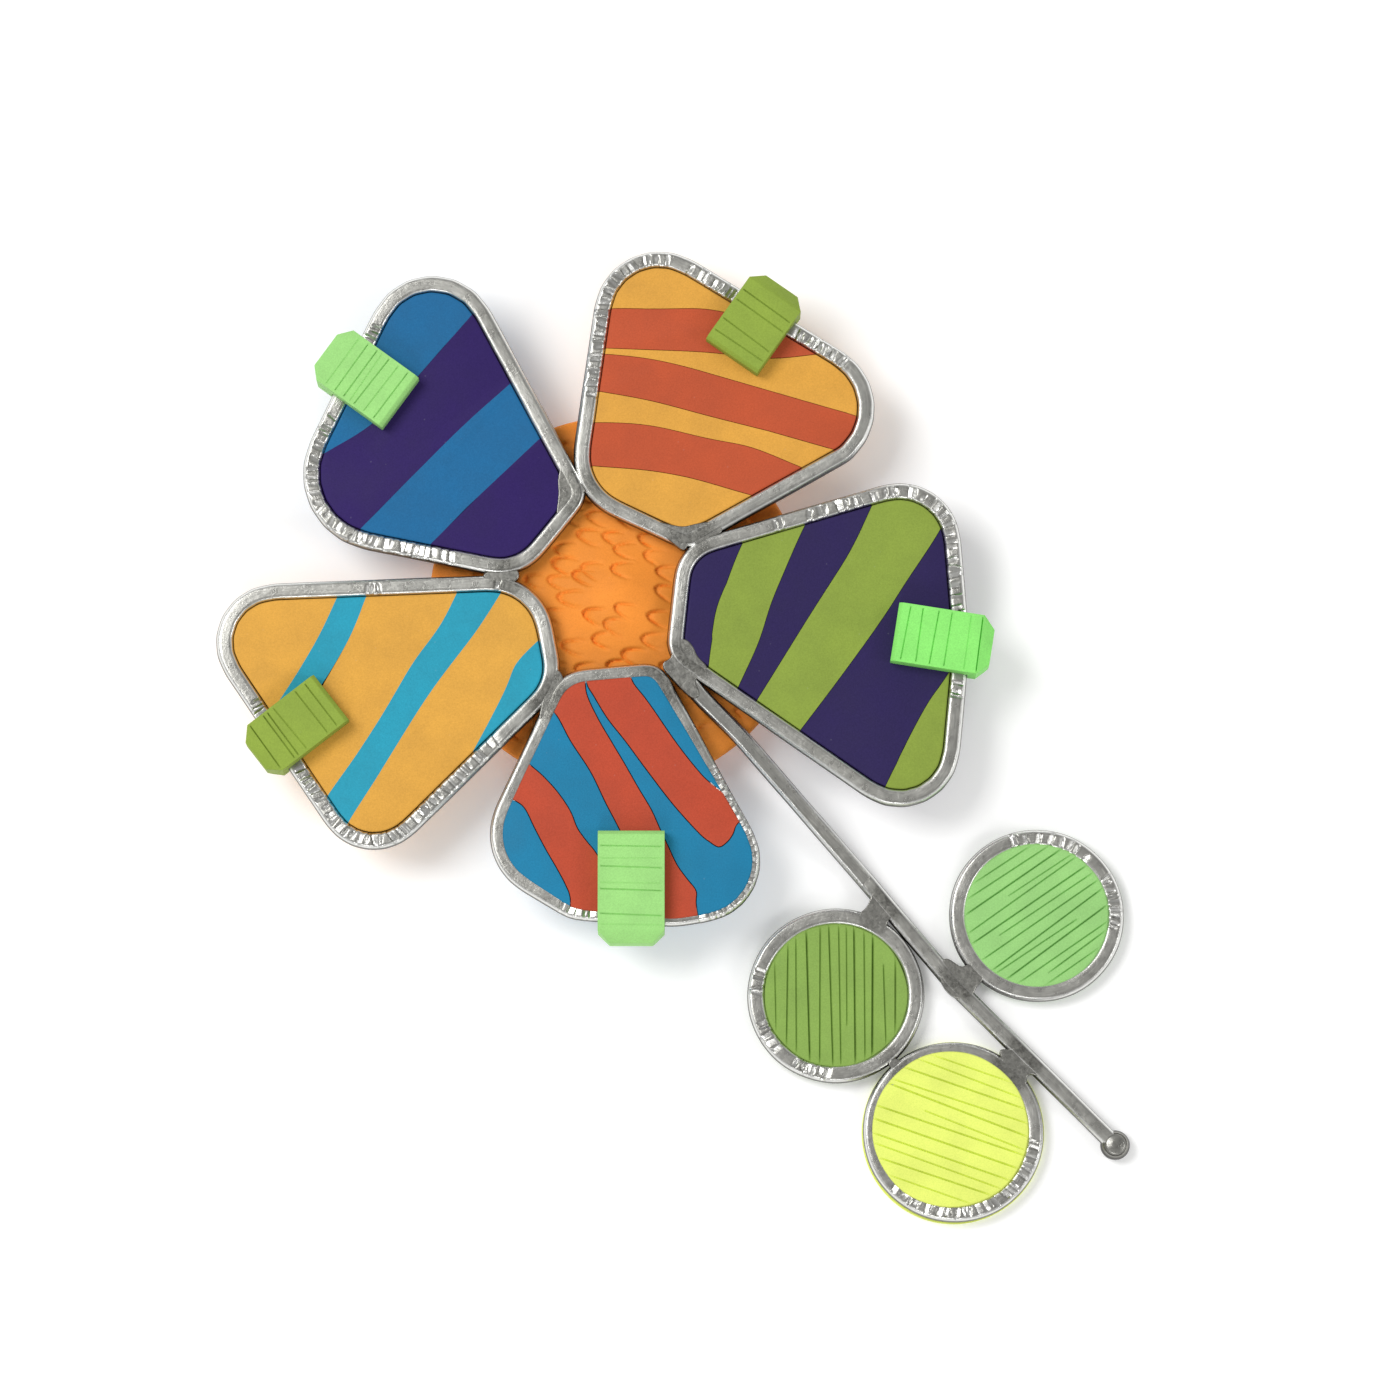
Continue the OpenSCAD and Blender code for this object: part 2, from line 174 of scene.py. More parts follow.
def new_material(name, **sockets):
    """An empty material with its shader. The sockets are set on the shader itself."""
    finish = bpy.data.materials.new(name)
    finish.use_nodes = True
    shader = finish.node_tree.nodes["Principled BSDF"]
    for socket, value in sockets.items():
        shader.inputs[socket.replace("_", " ")].default_value = value
    return finish, finish.node_tree, shader


def millimetres(tree):
    """Object coordinates in millimetres."""
    place = add_node(tree, "ShaderNodeTexCoord")
    return add_node(
        tree, "ShaderNodeMapping", {"Vector": place.outputs["Object"], "Scale": (1000,) * 3}
    ).outputs["Vector"]


def polymer_clay(name, rgb):
    """Polymer clay, rolled in sheets, baked and left unglazed. It is matte, with a fine grain of
    fillers, slow drifts of tone where the colours were kneaded, and a few pale dust specks."""
    finish, tree, shader = new_material(f"baked_polymer_clay_{name}", IOR=1.5, Roughness=0.62)
    # the open grain scatters half of the surface's sheen
    shader.inputs["Specular IOR Level"].default_value = 0.25
    place = millimetres(tree)
    # The filler's real grain is about 0.03 mm. It is drawn at 0.15 mm, so that it shows.
    grain = add_node(tree, "ShaderNodeTexNoise", {
        "Vector": place, "Scale": 6.5, "Detail": 3.0, "Roughness": 0.75})
    cloud = add_node(tree, "ShaderNodeTexNoise", {"Vector": place, "Scale": 0.3, "Detail": 2.0})
    dust = add_node(tree, "ShaderNodeTexVoronoi", {"Vector": place, "Scale": 0.55})
    speck = add_node(tree, "ShaderNodeMapRange", {
        "Value": dust.outputs["Distance"], "From Min": 0.03, "From Max": 0.06,
        "To Min": 0.12, "To Max": 0.0})
    tone = add_node(tree, "ShaderNodeMix", {"Factor": grain.outputs["Fac"]}, data_type="RGBA")
    # the colour sockets of a Mix node come after its plain ones, so they are linked by place
    tone.inputs[6].default_value = tuple(c * 0.72 for c in rgb) + (1,)
    tone.inputs[7].default_value = tuple(min(1, c * 1.24 + 0.012) for c in rgb) + (1,)
    slow = add_node(tree, "ShaderNodeMapRange", {
        "Value": cloud.outputs["Fac"], "From Min": 0.3, "From Max": 0.7, "To Min": 0.93,
        "To Max": 1.05})
    drifted = add_node(tree, "ShaderNodeMix", {"Factor": 1.0}, data_type="RGBA",
                       blend_type="MULTIPLY")
    tree.links.new(tone.outputs[2], drifted.inputs[6])
    tree.links.new(slow.outputs["Result"], drifted.inputs[7])
    dusty = add_node(tree, "ShaderNodeMix", {"Factor": speck.outputs["Result"]},
                     data_type="RGBA")
    tree.links.new(drifted.outputs[2], dusty.inputs[6])
    dusty.inputs[7].default_value = tuple(0.6 * c + 0.3 for c in rgb) + (1,)
    tree.links.new(dusty.outputs[2], shader.inputs["Base Color"])
    gloss = add_node(tree, "ShaderNodeMapRange", {
        "Value": cloud.outputs["Fac"], "To Min": 0.52, "To Max": 0.72})
    tree.links.new(gloss.outputs["Result"], shader.inputs["Roughness"])
    bump = add_node(tree, "ShaderNodeBump", {
        "Height": grain.outputs["Fac"], "Strength": 0.5, "Distance": 0.00005})
    tree.links.new(bump.outputs["Normal"], shader.inputs["Normal"])
    return finish


def filed_steel(wire):
    """Mild steel wire, welded and filed by hand. The file leaves a bright satin flat with fine
    scratches along it, and the welds are mottled. The cuts across it are painted lighter, partly
    fresh steel and partly a painted glint, the shoulders carry a painted highlight, and the flanks
    are painted dark as shade."""
    finish, tree, shader = new_material("filed_steel_wire", Metallic=1.0)
    place = millimetres(tree)
    filed, weld, cut, worn = (
        add_node(tree, "ShaderNodeAttribute", attribute_name=name).outputs["Fac"]
        for name in ("filed", "weld", "cut", "worn"))
    along = add_node(tree, "ShaderNodeUVMap", uv_map="wire").outputs["UV"]
    # File teeth are 0.1 to 0.3 mm apart, and their scratches run a few millimetres.
    stroke = add_node(tree, "ShaderNodeMapping", {"Vector": along, "Scale": (0.5, 7.0, 1.0)})
    scratch = add_node(tree, "ShaderNodeTexNoise", {
        "Vector": stroke.outputs["Vector"], "Scale": 1.0, "Detail": 3.0, "Roughness": 0.7})
    cloud = add_node(tree, "ShaderNodeTexNoise", {
        "Vector": place, "Scale": 0.9, "Detail": 5.0, "Roughness": 0.65})
    blotch = add_node(tree, "ShaderNodeTexNoise", {
        "Vector": place, "Scale": 2.6, "Detail": 4.0, "Roughness": 0.7, "Distortion": 0.6})

    def mixed(factor, first, second):
        made = add_node(tree, "ShaderNodeMix", {"Factor": factor}, data_type="RGBA")
        for socket, value in ((made.inputs[6], first), (made.inputs[7], second)):
            if isinstance(value, bpy.types.NodeSocket):
                tree.links.new(value, socket)
            else:
                socket.default_value = (*value, 1)
        return made.outputs[2]

    clouds = add_node(tree, "ShaderNodeMapRange", {
        "Value": cloud.outputs["Fac"], "From Min": 0.38, "From Max": 0.62}).outputs["Result"]
    blotches = add_node(tree, "ShaderNodeMapRange", {
        "Value": blotch.outputs["Fac"], "From Min": 0.36, "From Max": 0.64}).outputs["Result"]
    streak = add_node(tree, "ShaderNodeMapRange", {
        "Value": scratch.outputs["Fac"], "From Min": 0.35, "From Max": 0.65}).outputs["Result"]
    clean = mixed(clouds, tuple(c * 0.85 for c in wire.filed), tuple(wire.filed))
    bright = mixed(streak, tuple(c * 0.68 for c in wire.filed), clean)
    mottled = mixed(blotches, tuple(c * 0.45 for c in wire.weld), tuple(wire.weld))
    flat = mixed(weld, bright, mottled)
    # the file cuts are painted lighter: partly fresh steel, partly a painted glint
    cut_glint = mixed(cut, flat, linear(CUT_GLINT_STEEL))
    # painted shade: below the filed flat the flanks take the dark scale colour; painted highlight
    # on the shoulders
    painted_shading = mixed(worn, mixed(filed, tuple(wire.scale), cut_glint), linear(HIGHLIGHT_STEEL))
    tree.links.new(painted_shading, shader.inputs["Base Color"])
    rough = add_node(tree, "ShaderNodeMapRange", {
        "Value": clouds, "To Min": 0.27, "To Max": 0.36}).outputs["Result"]
    tree.links.new(rough, shader.inputs["Roughness"])
    low = add_node(tree, "ShaderNodeBump", {
        "Height": scratch.outputs["Fac"], "Strength": 0.35, "Distance": 0.00003})
    high = add_node(tree, "ShaderNodeBump", {
        "Height": blotch.outputs["Fac"], "Strength": 0.4, "Distance": 0.00006,
        "Normal": low.outputs["Normal"]})
    tree.links.new(high.outputs["Normal"], shader.inputs["Normal"])
    return finish


def nickel_plate():
    """Stamped steel with barrel-plated nickel: even, warm grey and half glossy, with faint
    rubbing marks."""
    finish, tree, shader = new_material(
        "barrel_plated_nickel", Metallic=1.0, Base_Color=(*linear("#BFC0BE"), 1))
    place = millimetres(tree)
    rub = add_node(tree, "ShaderNodeTexNoise", {
        "Vector": place, "Scale": 1.4, "Detail": 6.0, "Roughness": 0.7})
    gloss = add_node(tree, "ShaderNodeMapRange", {
        "Value": rub.outputs["Fac"], "To Min": 0.18, "To Max": 0.36})
    tree.links.new(gloss.outputs["Result"], shader.inputs["Roughness"])
    bump = add_node(tree, "ShaderNodeBump", {
        "Height": rub.outputs["Fac"], "Strength": 0.2, "Distance": 0.00003})
    tree.links.new(bump.outputs["Normal"], shader.inputs["Normal"])
    return finish


def matt_paper(rgb, glow):
    """Matt white paper on a light table: no gloss, a very faint tooth, and a faint glow."""
    finish, tree, shader = new_material("matt_paper", Roughness=0.95, Base_Color=(*rgb, 1))
    shader.inputs["Specular IOR Level"].default_value = 0.1
    shader.inputs["Emission Color"].default_value = (1, 1, 1, 1)
    shader.inputs["Emission Strength"].default_value = glow
    tooth = add_node(tree, "ShaderNodeTexNoise", {"Vector": millimetres(tree), "Scale": 2.0})
    bump = add_node(tree, "ShaderNodeBump", {
        "Height": tooth.outputs["Fac"], "Strength": 0.1, "Distance": 0.00002})
    tree.links.new(bump.outputs["Normal"], shader.inputs["Normal"])
    return finish


def finish_named(kind, *wanted):
    """The material of that kind, made the first time that it is asked for."""
    name = {"clay": "baked_polymer_clay_", "steel": "filed_steel_wire",
            "nickel": "barrel_plated_nickel"}[kind] + "".join(wanted)
    if name in bpy.data.materials:
        return bpy.data.materials[name]
    if kind == "clay":
        return polymer_clay(wanted[0], tuple(getattr(bpy.context.scene.brooch_clay, wanted[0])))
    return filed_steel(bpy.context.scene.brooch_wire) if kind == "steel" else nickel_plate()


# ---- pieces ----

def finish_piece(name, bm, finish, nodes, body="root", crease=35):
    """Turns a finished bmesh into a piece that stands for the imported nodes."""
    bmesh.ops.scale(bm, vec=(MM,) * 3, verts=bm.verts)
    mesh = bpy.data.meshes.new(name)
    bm.to_mesh(mesh)
    bm.free()
    mesh.materials.append(finish)
    mesh.shade_smooth()
    mesh.set_sharp_from_angle(angle=math.radians(crease))
    piece = bpy.data.objects.new(name, mesh)
    bpy.context.scene.collection.objects.link(piece)
    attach(piece, body)
    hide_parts(*nodes)
    return piece


def flat_topped(piece):
    """Shades a piece's level faces flat, so that what is cut into them stays crisp."""
    for face in piece.data.polygons:
        face.use_smooth = face.normal.z < 0.99
    return piece


def extruded(bm, line, foot, top):
    """A plate between two heights with that outline. Returns its top face."""
    outline = bm.faces.new([bm.verts.new((*p, foot)) for p in line])
    outline.normal_update()
    if outline.normal.z > 0:
        outline.normal_flip()
    grown = bmesh.ops.extrude_face_region(bm, geom=[outline], use_keep_orig=True)["geom"]
    upper = [g for g in grown if isinstance(g, bmesh.types.BMVert)]
    bmesh.ops.translate(bm, vec=(0, 0, top - foot), verts=upper)
    return [g for g in grown if isinstance(g, bmesh.types.BMFace)][0]


def bevelled(bm, edges, offset, segments=3, clamp=True):
    """Rounds the edges of a shape."""
    bmesh.ops.bevel(bm, geom=edges, offset=offset, segments=segments, profile=0.5,
                    affect="EDGES", clamp_overlap=clamp, material=-1)


def cut_across(bm, place, normal, geom=None):
    """Cuts faces in two along a plane, and keeps both sides. It cuts the whole shape, or only
    what is given."""
    bmesh.ops.bisect_plane(bm, geom=geom or bm.verts[:] + bm.edges[:] + bm.faces[:], dist=1e-5,
                           plane_co=place, plane_no=normal)


def rounded_edges(piece, width, **settings):
    """Rounds a finished piece's edges, with the bevel's own settings for which."""
    rounding = piece.modifiers.new("rounded_edge", "BEVEL")
    rounding.width, rounding.segments, rounding.profile = width * MM, 2, 0.5
    for name, value in settings.items():
        setattr(rounding, name, value)
    return piece


def copy_of(node):
    """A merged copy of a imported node's mesh, in millimetres, with its flat faces whole."""
    bm = bmesh.new()
    bm.from_mesh(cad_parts[node].data)
    bmesh.ops.scale(bm, vec=(1 / MM,) * 3, verts=bm.verts)
    bmesh.ops.remove_doubles(bm, verts=bm.verts, dist=1e-4)
    bmesh.ops.dissolve_limit(bm, angle_limit=math.radians(0.5), verts=bm.verts, edges=bm.edges,
                             use_dissolve_boundaries=False)
    return bm


def top_edges(bm):
    """The edges round the flat top of a sheet."""
    top = max(v.co.z for v in bm.verts)
    return [e for e in bm.edges
            if all(abs(v.co.z - top) < 1e-3 for v in e.verts)
            and sum(f.normal.z > 0.9 for f in e.link_faces) == 1]


def outline_of(node):
    """The outline of a packed sheet's top as points in order, anticlockwise."""
    bm = copy_of(node)
    edges = top_edges(bm)
    beside = {}
    for e in edges:
        for v in e.verts:
            beside.setdefault(v, []).append(e.other_vert(v))
    start = edges[0].verts[0]
    loop, last = [start], None
    while len(loop) < len(beside):
        ahead = [v for v in beside[loop[-1]] if v is not last][0]
        last = loop[-1]
        loop.append(ahead)
    points = np.array([v.co[:2] for v in loop])
    bm.free()
    x, y = points.T
    area = np.sum(x * np.roll(y, -1) - np.roll(x, -1) * y)
    return points if area > 0 else points[::-1]


def spaced(points, step, closed=True):
    """The same line with its points evenly spaced, about a step apart."""
    line = np.vstack([points, points[:1]]) if closed else np.asarray(points, float)
    run = np.concatenate([[0], np.cumsum(np.linalg.norm(np.diff(line, axis=0), axis=1))])
    count = max(2, round(run[-1] / step))
    wanted = np.linspace(0, run[-1], count + 1)[:-1 if closed else None]
    return np.column_stack([np.interp(wanted, run, line[:, k]) for k in range(line.shape[1])])


def softened(points, passes):
    """A closed line with its corners eased by repeated averaging."""
    for _ in range(passes):
        points = (np.roll(points, 1, 0) + 2 * points + np.roll(points, -1, 0)) / 4
    return points


def outward(points, closed=True):
    """The unit direction to the right of the line at each point."""
    if closed:
        ahead = np.roll(points, -1, 0) - np.roll(points, 1, 0)
    else:
        ahead = np.gradient(points, axis=0)
    right = np.column_stack([ahead[:, 1], -ahead[:, 0]])
    return right / np.linalg.norm(right, axis=1)[:, None]


def smoothstep(low, high, value):
    """An eased step from 0 at low to 1 at high, either way round."""
    t = np.clip((value - low) / (high - low), 0, 1)
    return t * t * (3 - 2 * t)


def drift(run, length, draw, waves=(3, 5, 8)):
    """A slow random swing between about -1 and 1, which joins up after the length."""
    return sum(np.sin(2 * math.pi * k * run / length + draw.uniform(0, 6.28))
               for k in waves) / len(waves)


# ---- wire ----

# Half of the wire's section: across and up from its foot, from the middle of the filed flat over
# the rounded shoulder and down to the foot. It is for a wire 1.8 across and 1.7 high.
HALF_SECTION = [
    (0, 1.7), (0.3, 1.7), (0.47, 1.695), (0.55, 1.675), (0.61, 1.64), (0.67, 1.585),
    (0.75, 1.48), (0.83, 1.32), (0.88, 1.14), (0.9, 0.93), (0.88, 0.68), (0.8, 0.42),
    (0.65, 0.21), (0.42, 0.06), (0, 0)]
SECTION = np.array(HALF_SECTION + [(-a, z) for a, z in HALF_SECTION[-2::-1]])
SECTION_WIDE, SECTION_HIGH, SECTION_FLAT = 1.8, 1.7, 1.1


def bent_grid(points, layers, uv):
    """A grid whose vertex (i, j) is bent to points[i, j], welded where its edges meet. Each layer
    is a number for every vertex, and uv the two numbers of each."""
    rows, columns = points.shape[:2]
    bm = bmesh.new()
    sheet = bm.loops.layers.uv.new("wire")
    kept = {name: bm.verts.layers.float.new(name) for name in layers}
    bmesh.ops.create_grid(bm, x_segments=rows - 1, y_segments=columns - 1, size=0.5)
    where = {}
    for v in bm.verts:
        i = round((v.co.x + 0.5) * (rows - 1))
        j = round((v.co.y + 0.5) * (columns - 1))
        where[v] = (i, j)
        for name, values in layers.items():
            v[kept[name]] = values[i, j]
        v.co = points[i, j]
    for face in bm.faces:
        for loop in face.loops:
            loop[sheet].uv = uv[where[loop.vert]]
    bmesh.ops.remove_doubles(bm, verts=bm.verts, dist=1e-5)
    ends = [e for e in bm.edges if e.is_boundary]
    if ends:
        bmesh.ops.holes_fill(bm, edges=ends, sides=0)
    bmesh.ops.recalc_face_normals(bm, faces=bm.faces)
    return bm


def file_cuts(middle, run, length, stretches, draw):
    """Draws the cuts along each stretch, which goes anticlockwise from one point to another.
    A cut has a place along the wire, a slant, a steep and a gentle side, a depth and a reach."""
    cuts = []
    for start, end, spacing in stretches:
        first, last = (run[np.argmin(np.linalg.norm(middle - p, axis=1))] for p in (start, end))
        last += length * (last < first)
        place = first
        while place <= last:
            step = spacing * draw.uniform(0.55, 1.5)
            turned = draw.choice((1, 1, -1))
            cuts.append((
                place % length, draw.uniform(-0.28, 0.28), draw.uniform(0.07, 0.13) * turned,
                min(0.95 * step, draw.uniform(0.3, 0.7)) * turned, draw.uniform(0.5, 1),
                draw.uniform(0.2, 0.85)))
            place += step
    return cuts


def cut_depths(cuts, run, length, across, high):
    """How deep the cuts go at each point of the wire, from 0 to 1."""
    deepest = np.zeros((len(run), len(across)))
    on_top = smoothstep(0.55, 0.8, high)
    for place, slant, steep, gentle, depth, reach in cuts:
        off = (run[:, None] - place - slant * across[None] + length / 2) % length - length / 2
        off = off * math.copysign(1, steep)
        valley = np.where(off < 0, 1 + off / abs(steep), 1 - off / abs(gentle))
        side = 1 - smoothstep(reach - 0.1, reach + 0.1, across)
        deepest = np.maximum(deepest, np.clip(valley, 0, 1) * depth * (side * on_top)[None])
    return deepest


def make_wire(middle, right, foot, height, draw, lift, cuts=(), closed=True):
    """A wire along its middle line. right is the direction across it at each point, foot the
    height of its lowest line, height its own height, and lift a small move upwards."""
    wire = bpy.context.scene.brooch_wire
    steps = np.linalg.norm(np.diff(middle, axis=0), axis=1)
    run = np.concatenate([[0], np.cumsum(steps)])
    length = run[-1] + (np.linalg.norm(middle[0] - middle[-1]) if closed else 0)
    across, up = SECTION[:, 0].copy(), SECTION[:, 1] * height / SECTION_HIGH
    high = SECTION[:, 1] / SECTION_HIGH
    across[high > 0.9] *= wire.flat / MM / SECTION_FLAT
    deep = cut_depths(cuts, run, length, across, high)
    swing = drift(run, length, draw) if closed else 0.5 * drift(run, max(length, 60), draw)
    tilt = drift(run, length, draw, (2, 4, 7)) * wire.wander * 1.6
    wide = across[None] * (1 + wire.wander * swing[:, None])
    rise = up[None] + (smoothstep(0.7, 0.95, high) * across)[None] * tilt[:, None]
    rise = rise - deep * wire.cut_depth / MM + lift
    points = np.empty((len(run), len(across), 3))
    points[..., :2] = middle[:, None] + right[:, None] * wide[..., None]
    points[..., 2] = np.broadcast_to(np.asarray(foot, float).reshape(-1, 1), deep.shape) + rise
    near = np.zeros(len(run))
    for x, y, reach in WELDS:
        gap = np.linalg.norm(middle - on_flower(x, y), axis=1)
        near = np.maximum(near, 1 - smoothstep(0.5 * reach, reach, gap))
    layers = {
        # below the filed flat the flanks take the dark scale colour, a painted shade
        "filed": np.broadcast_to(smoothstep(0.62, 0.93, high)[None], deep.shape),
        # painted highlight: a band on the shoulders, just off the filed flat, is lightened in
        # colour
        "worn": np.broadcast_to(
            (smoothstep(0.78, 0.9, high) * (1 - smoothstep(0.965, 0.998, high)))[None],
            deep.shape),
        # where the cuts take their lighter colour, partly fresh steel, partly a painted glint
        "cut": 0.6 * smoothstep(0.1, 0.4, deep),
        "weld": np.broadcast_to(near[:, None], deep.shape),
    }
    girth = np.concatenate([[0], np.cumsum(np.linalg.norm(np.diff(SECTION, axis=0), axis=1))])
    uv = np.empty((*deep.shape, 2))
    uv[..., 0], uv[..., 1] = run[:, None], girth[None]
    if closed:
        points = np.concatenate([points, points[:1]])
        layers = {name: np.concatenate([v, v[:1]]) for name, v in layers.items()}
        uv = np.concatenate([uv, uv[:1] + [length, 0]])
    return bent_grid(points, layers, uv)


# Where the file has cut across each petal's wire, from one point to the next anticlockwise, and
# the usual gap between cuts
PETAL_CUTS = [
    [((-24.2, 27.3), (-25.3, 26.1), 0.5), ((-29.3, 18.5), (-16.7, 3.8), 0.78)],
    [((4.8, 34.3), (-2.7, 20.1), 0.7), ((11.8, 30.7), (6.8, 33.4), 0.75),
     ((22.8, 23.4), (18.3, 27.1), 0.65)],
    [((34.6, -1.6), (18.8, 7.9), 0.8), ((34.2, -10.2), (34.3, -8.9), 0.4),
     ((16.8, 7.3), (16.0, 7.1), 0.5)],
    [((-24.2, 0.8), (-25.4, 0.9), 0.6), ((-36.6, -11.0), (-35.9, -12.2), 0.5),
     ((-32.4, -18.2), (-11.7, -14.1), 0.72), ((-11.8, 1.5), (-11.9, 1.4), 0.6)],
    [((8.3, -32.8), (9.6, -16.8), 0.62), ((-5.4, -31.0), (-2.4, -31.7), 0.7)],
]
# Where the welding heat has mottled the wire: a point and how far the colour reaches
WELDS = [
    (-4.2, 10.6, 3.2), (7.4, 6.6, 3.4), (7.2, -6.6, 3.2), (-11, 1.9, 2.6), (-7, -10.4, 3),
    (4.3, -8.7, 3.6), (26.5, -31, 3), (34.4, -38.6, 3), (40.3, -46.6, 3.4), (28.2, -46.8, 2)]
PETALS = range(1, 6)
LEAVES = range(1, 4)
# The petal whose clay is pressed out over its wire
LOWEST = 5
WIRE_STEP = 0.1
# How far a petal's back reaches past the middle of its wire, and how far in from the back's edge
# the clay ends, a hair under the wire's inner side
BACK_REACH = 0.5
CLAY_INSET = BACK_REACH + SECTION_WIDE / 2 - 0.02
# Each frame is set this much lower than the last, so that no two tops share a plane
LEVEL_STEP = 0.004


def back_edge(number):
    """The outline of a petal's back, with its corners eased."""
    return softened(spaced(outline_of(f"petal_{number}_back"), WIRE_STEP), 40)


def petal_middle(number):
    """The middle line of a petal's wire and the direction outwards from it."""
    edge = back_edge(number)
    middle = spaced(edge - BACK_REACH * outward(edge), WIRE_STEP)
    return middle, outward(middle)


def petal_wire(number):
    """The filed wire frame of one petal."""
    draw = random.Random(10 + number)
    middle, right = petal_middle(number)
    low, high = box(f"petal_{number}_rim")
    run = np.arange(len(middle)) * np.linalg.norm(middle[1] - middle[0])
    length = run[-1] + run[1]
    stretches = [(on_flower(*a), on_flower(*b), gap) for a, b, gap in PETAL_CUTS[number - 1]]
    cuts = file_cuts(middle, run, length, stretches, draw)
    if number == LOWEST:
        # the clay hides the inner ends of these, and what shows goes right across the wire
        cuts = [(*cut[:5], 0.95) for cut in cuts]
    bm = make_wire(middle, right, low[2], high[2] - low[2], draw, -LEVEL_STEP * number, cuts)
    return finish_piece(f"petal_{number}_filed_wire", bm, finish_named("steel"),
                        [f"petal_{number}_rim"])


# The stretches of each leaf's ring with file cuts, in degrees anticlockwise from +X
LEAF_CUTS = [
    [(163, 178, 0.7), (200, 226, 0.6), (238, 266, 0.45)],
    [(78, 112, 0.9), (50, 74, 0.7), (-10, 32, 0.75)],
    [(222, 354, 0.62)],
]


def leaf_wire(number):
    """The filed wire ring of one leaf."""
    draw = random.Random(20 + number)
    low, high = box(f"leaf_{number}_ring")
    centre = (low + high)[:2] / 2
    radius = (high[0] - low[0]) / 2 - SECTION_WIDE / 2
    steps = round(2 * math.pi * radius / WIRE_STEP)
    turn = np.arange(steps) * 2 * math.pi / steps
    right = np.column_stack([np.cos(turn), np.sin(turn)])
    # a ring bent by hand is never quite round
    middle = centre + right * (radius + 0.05 * np.sin(2 * turn + number))[:, None]

    def at(degrees):
        w = math.radians(degrees)
        return centre + radius * np.array([math.cos(w), math.sin(w)])

    stretches = [(at(a), at(b), gap) for a, b, gap in LEAF_CUTS[number - 1]]
    run = turn * radius
    cuts = file_cuts(middle, run, 2 * math.pi * radius, stretches, draw)
    bm = make_wire(middle, right, low[2], high[2] - low[2], draw, -LEVEL_STEP * number, cuts)
    return finish_piece(f"leaf_{number}_filed_wire", bm, finish_named("steel"),
                        [f"leaf_{number}_ring"])


# The stem's line on the flower, with the height of the wire's foot
STEM_UPPER = [(5.9, -7.0, 6.45), (8.4, -10.1, 6.3), (12.4, -13.9, 5.0), (25.3, -28.3, 0.5)]
STEM_LOWER = [(25.1, -28.06, 0.5), (34.2, -38.9, 0.5), (50.2, -54.9, 0.5)]


def stem_wire(name, node, line, height, seed, lift):
    """A straight or slightly bent run of the stem."""
    draw = random.Random(seed)
    points = np.array([(*on_flower(x, y), z) for x, y, z in line])
    points = spaced(points, 0.15, closed=False)
    eased = points.copy()
    for _ in range(60):
        eased[1:-1] = (eased[:-2] + 2 * eased[1:-1] + eased[2:]) / 4
    middle = eased[:, :2]
    bm = make_wire(middle, outward(middle, closed=False), eased[:, 2], height, draw, lift,
                   closed=False)
    return finish_piece(name, bm, finish_named("steel"), [node])


def stem_ball():
    """The ball melted on the stem's end, with its top filed flat and polished."""
    low, high = box("stem_ball")
    centre = (low + high) / 2
    radius = (high[0] - low[0]) / 2
    bm = bmesh.new()
    kept = {name: bm.verts.layers.float.new(name) for name in ("filed", "weld", "cut")}
    bmesh.ops.create_uvsphere(bm, u_segments=64, v_segments=48, radius=radius)
    middle = (high[2] + low[2]) / 2
    top, foot = high[2] - middle, low[2] - middle
    for v in bm.verts:
        v.co.z = min(max(v.co.z, foot), top)
        out = math.hypot(v.co.x, v.co.y)
        edge = math.sqrt(max(radius ** 2 - top ** 2, 0))
        # the flat's rim is rounded
        if v.co.z > 0.5 * top:
            v.co.z -= 0.12 * float(smoothstep(0.3 * edge, 1.1 * edge, out)) * (out < edge * 1.3)
        # the ball's lower half takes the dark scale colour, a painted shade; its top has the filed
        # colour
        v[kept["filed"]] = float(smoothstep(0.35 * top, 0.9 * top, v.co.z))
        v[kept["weld"]] = float(1 - smoothstep(0.2, 0.9, out / radius)) * 0.7
    bmesh.ops.translate(bm, vec=(centre[0], centre[1], middle), verts=bm.verts)
    return finish_piece("stem_end_ball", bm, finish_named("steel"), ["stem_ball"],
                        crease=50)


# The webs of weld metal, as points round each, on the flower
PETAL_WEBS = [
    [(-5.5, 14.2), (-5.8, 12.9), (-6.0, 11.7), (-5.9, 10.7), (-6.0, 9.5), (-6.1, 8.2),
     (-5.2, 8.6), (-4.1, 9.8), (-3.1, 10.8), (-3.6, 11.5), (-4.5, 12.3), (-5.0, 13.5)],
    [(3.4, 7.8), (5.0, 7.4), (6.7, 7.1), (8.0, 7.4), (9.9, 7.6), (10.7, 6.9), (10.4, 6.3),
     (9.3, 6.0), (8.6, 5.0), (8.0, 5.1), (7.7, 5.9), (7.3, 5.5), (6.8, 4.6), (5.9, 5.2),
     (4.9, 6.0), (4.0, 6.9)],
    [(4.6, -6.7), (5.4, -6.4), (5.6, -5.6), (6.2, -4.6), (6.9, -4.3), (7.7, -5.1), (8.2, -6.2),
     (9.2, -7.2), (8.8, -7.9), (8.1, -8.2), (7.9, -8.7), (8.3, -9.6), (8.3, -10.3),
     (7.6, -10.4), (6.9, -9.8), (6.0, -8.9), (5.3, -8.1), (4.7, -7.4)],
    [(-13.4, 2.4), (-11.4, 2.5), (-10.0, 2.7), (-9.9, 1.7), (-11.2, 1.4), (-13.2, 1.6)],
    [(-5.9, -7.4), (-5.3, -8.7), (-5.9, -10.4), (-6.9, -11.9), (-7.8, -12.8), (-7.6, -11.2),
     (-7.2, -9.9), (-6.6, -8.4)],
    [(2.1, -7.4), (4.4, -7.8), (5.3, -8.4), (6.0, -10.2), (6.4, -11.6), (5.3, -11.2),
     (4.2, -10.1), (3.0, -9.0)],
]
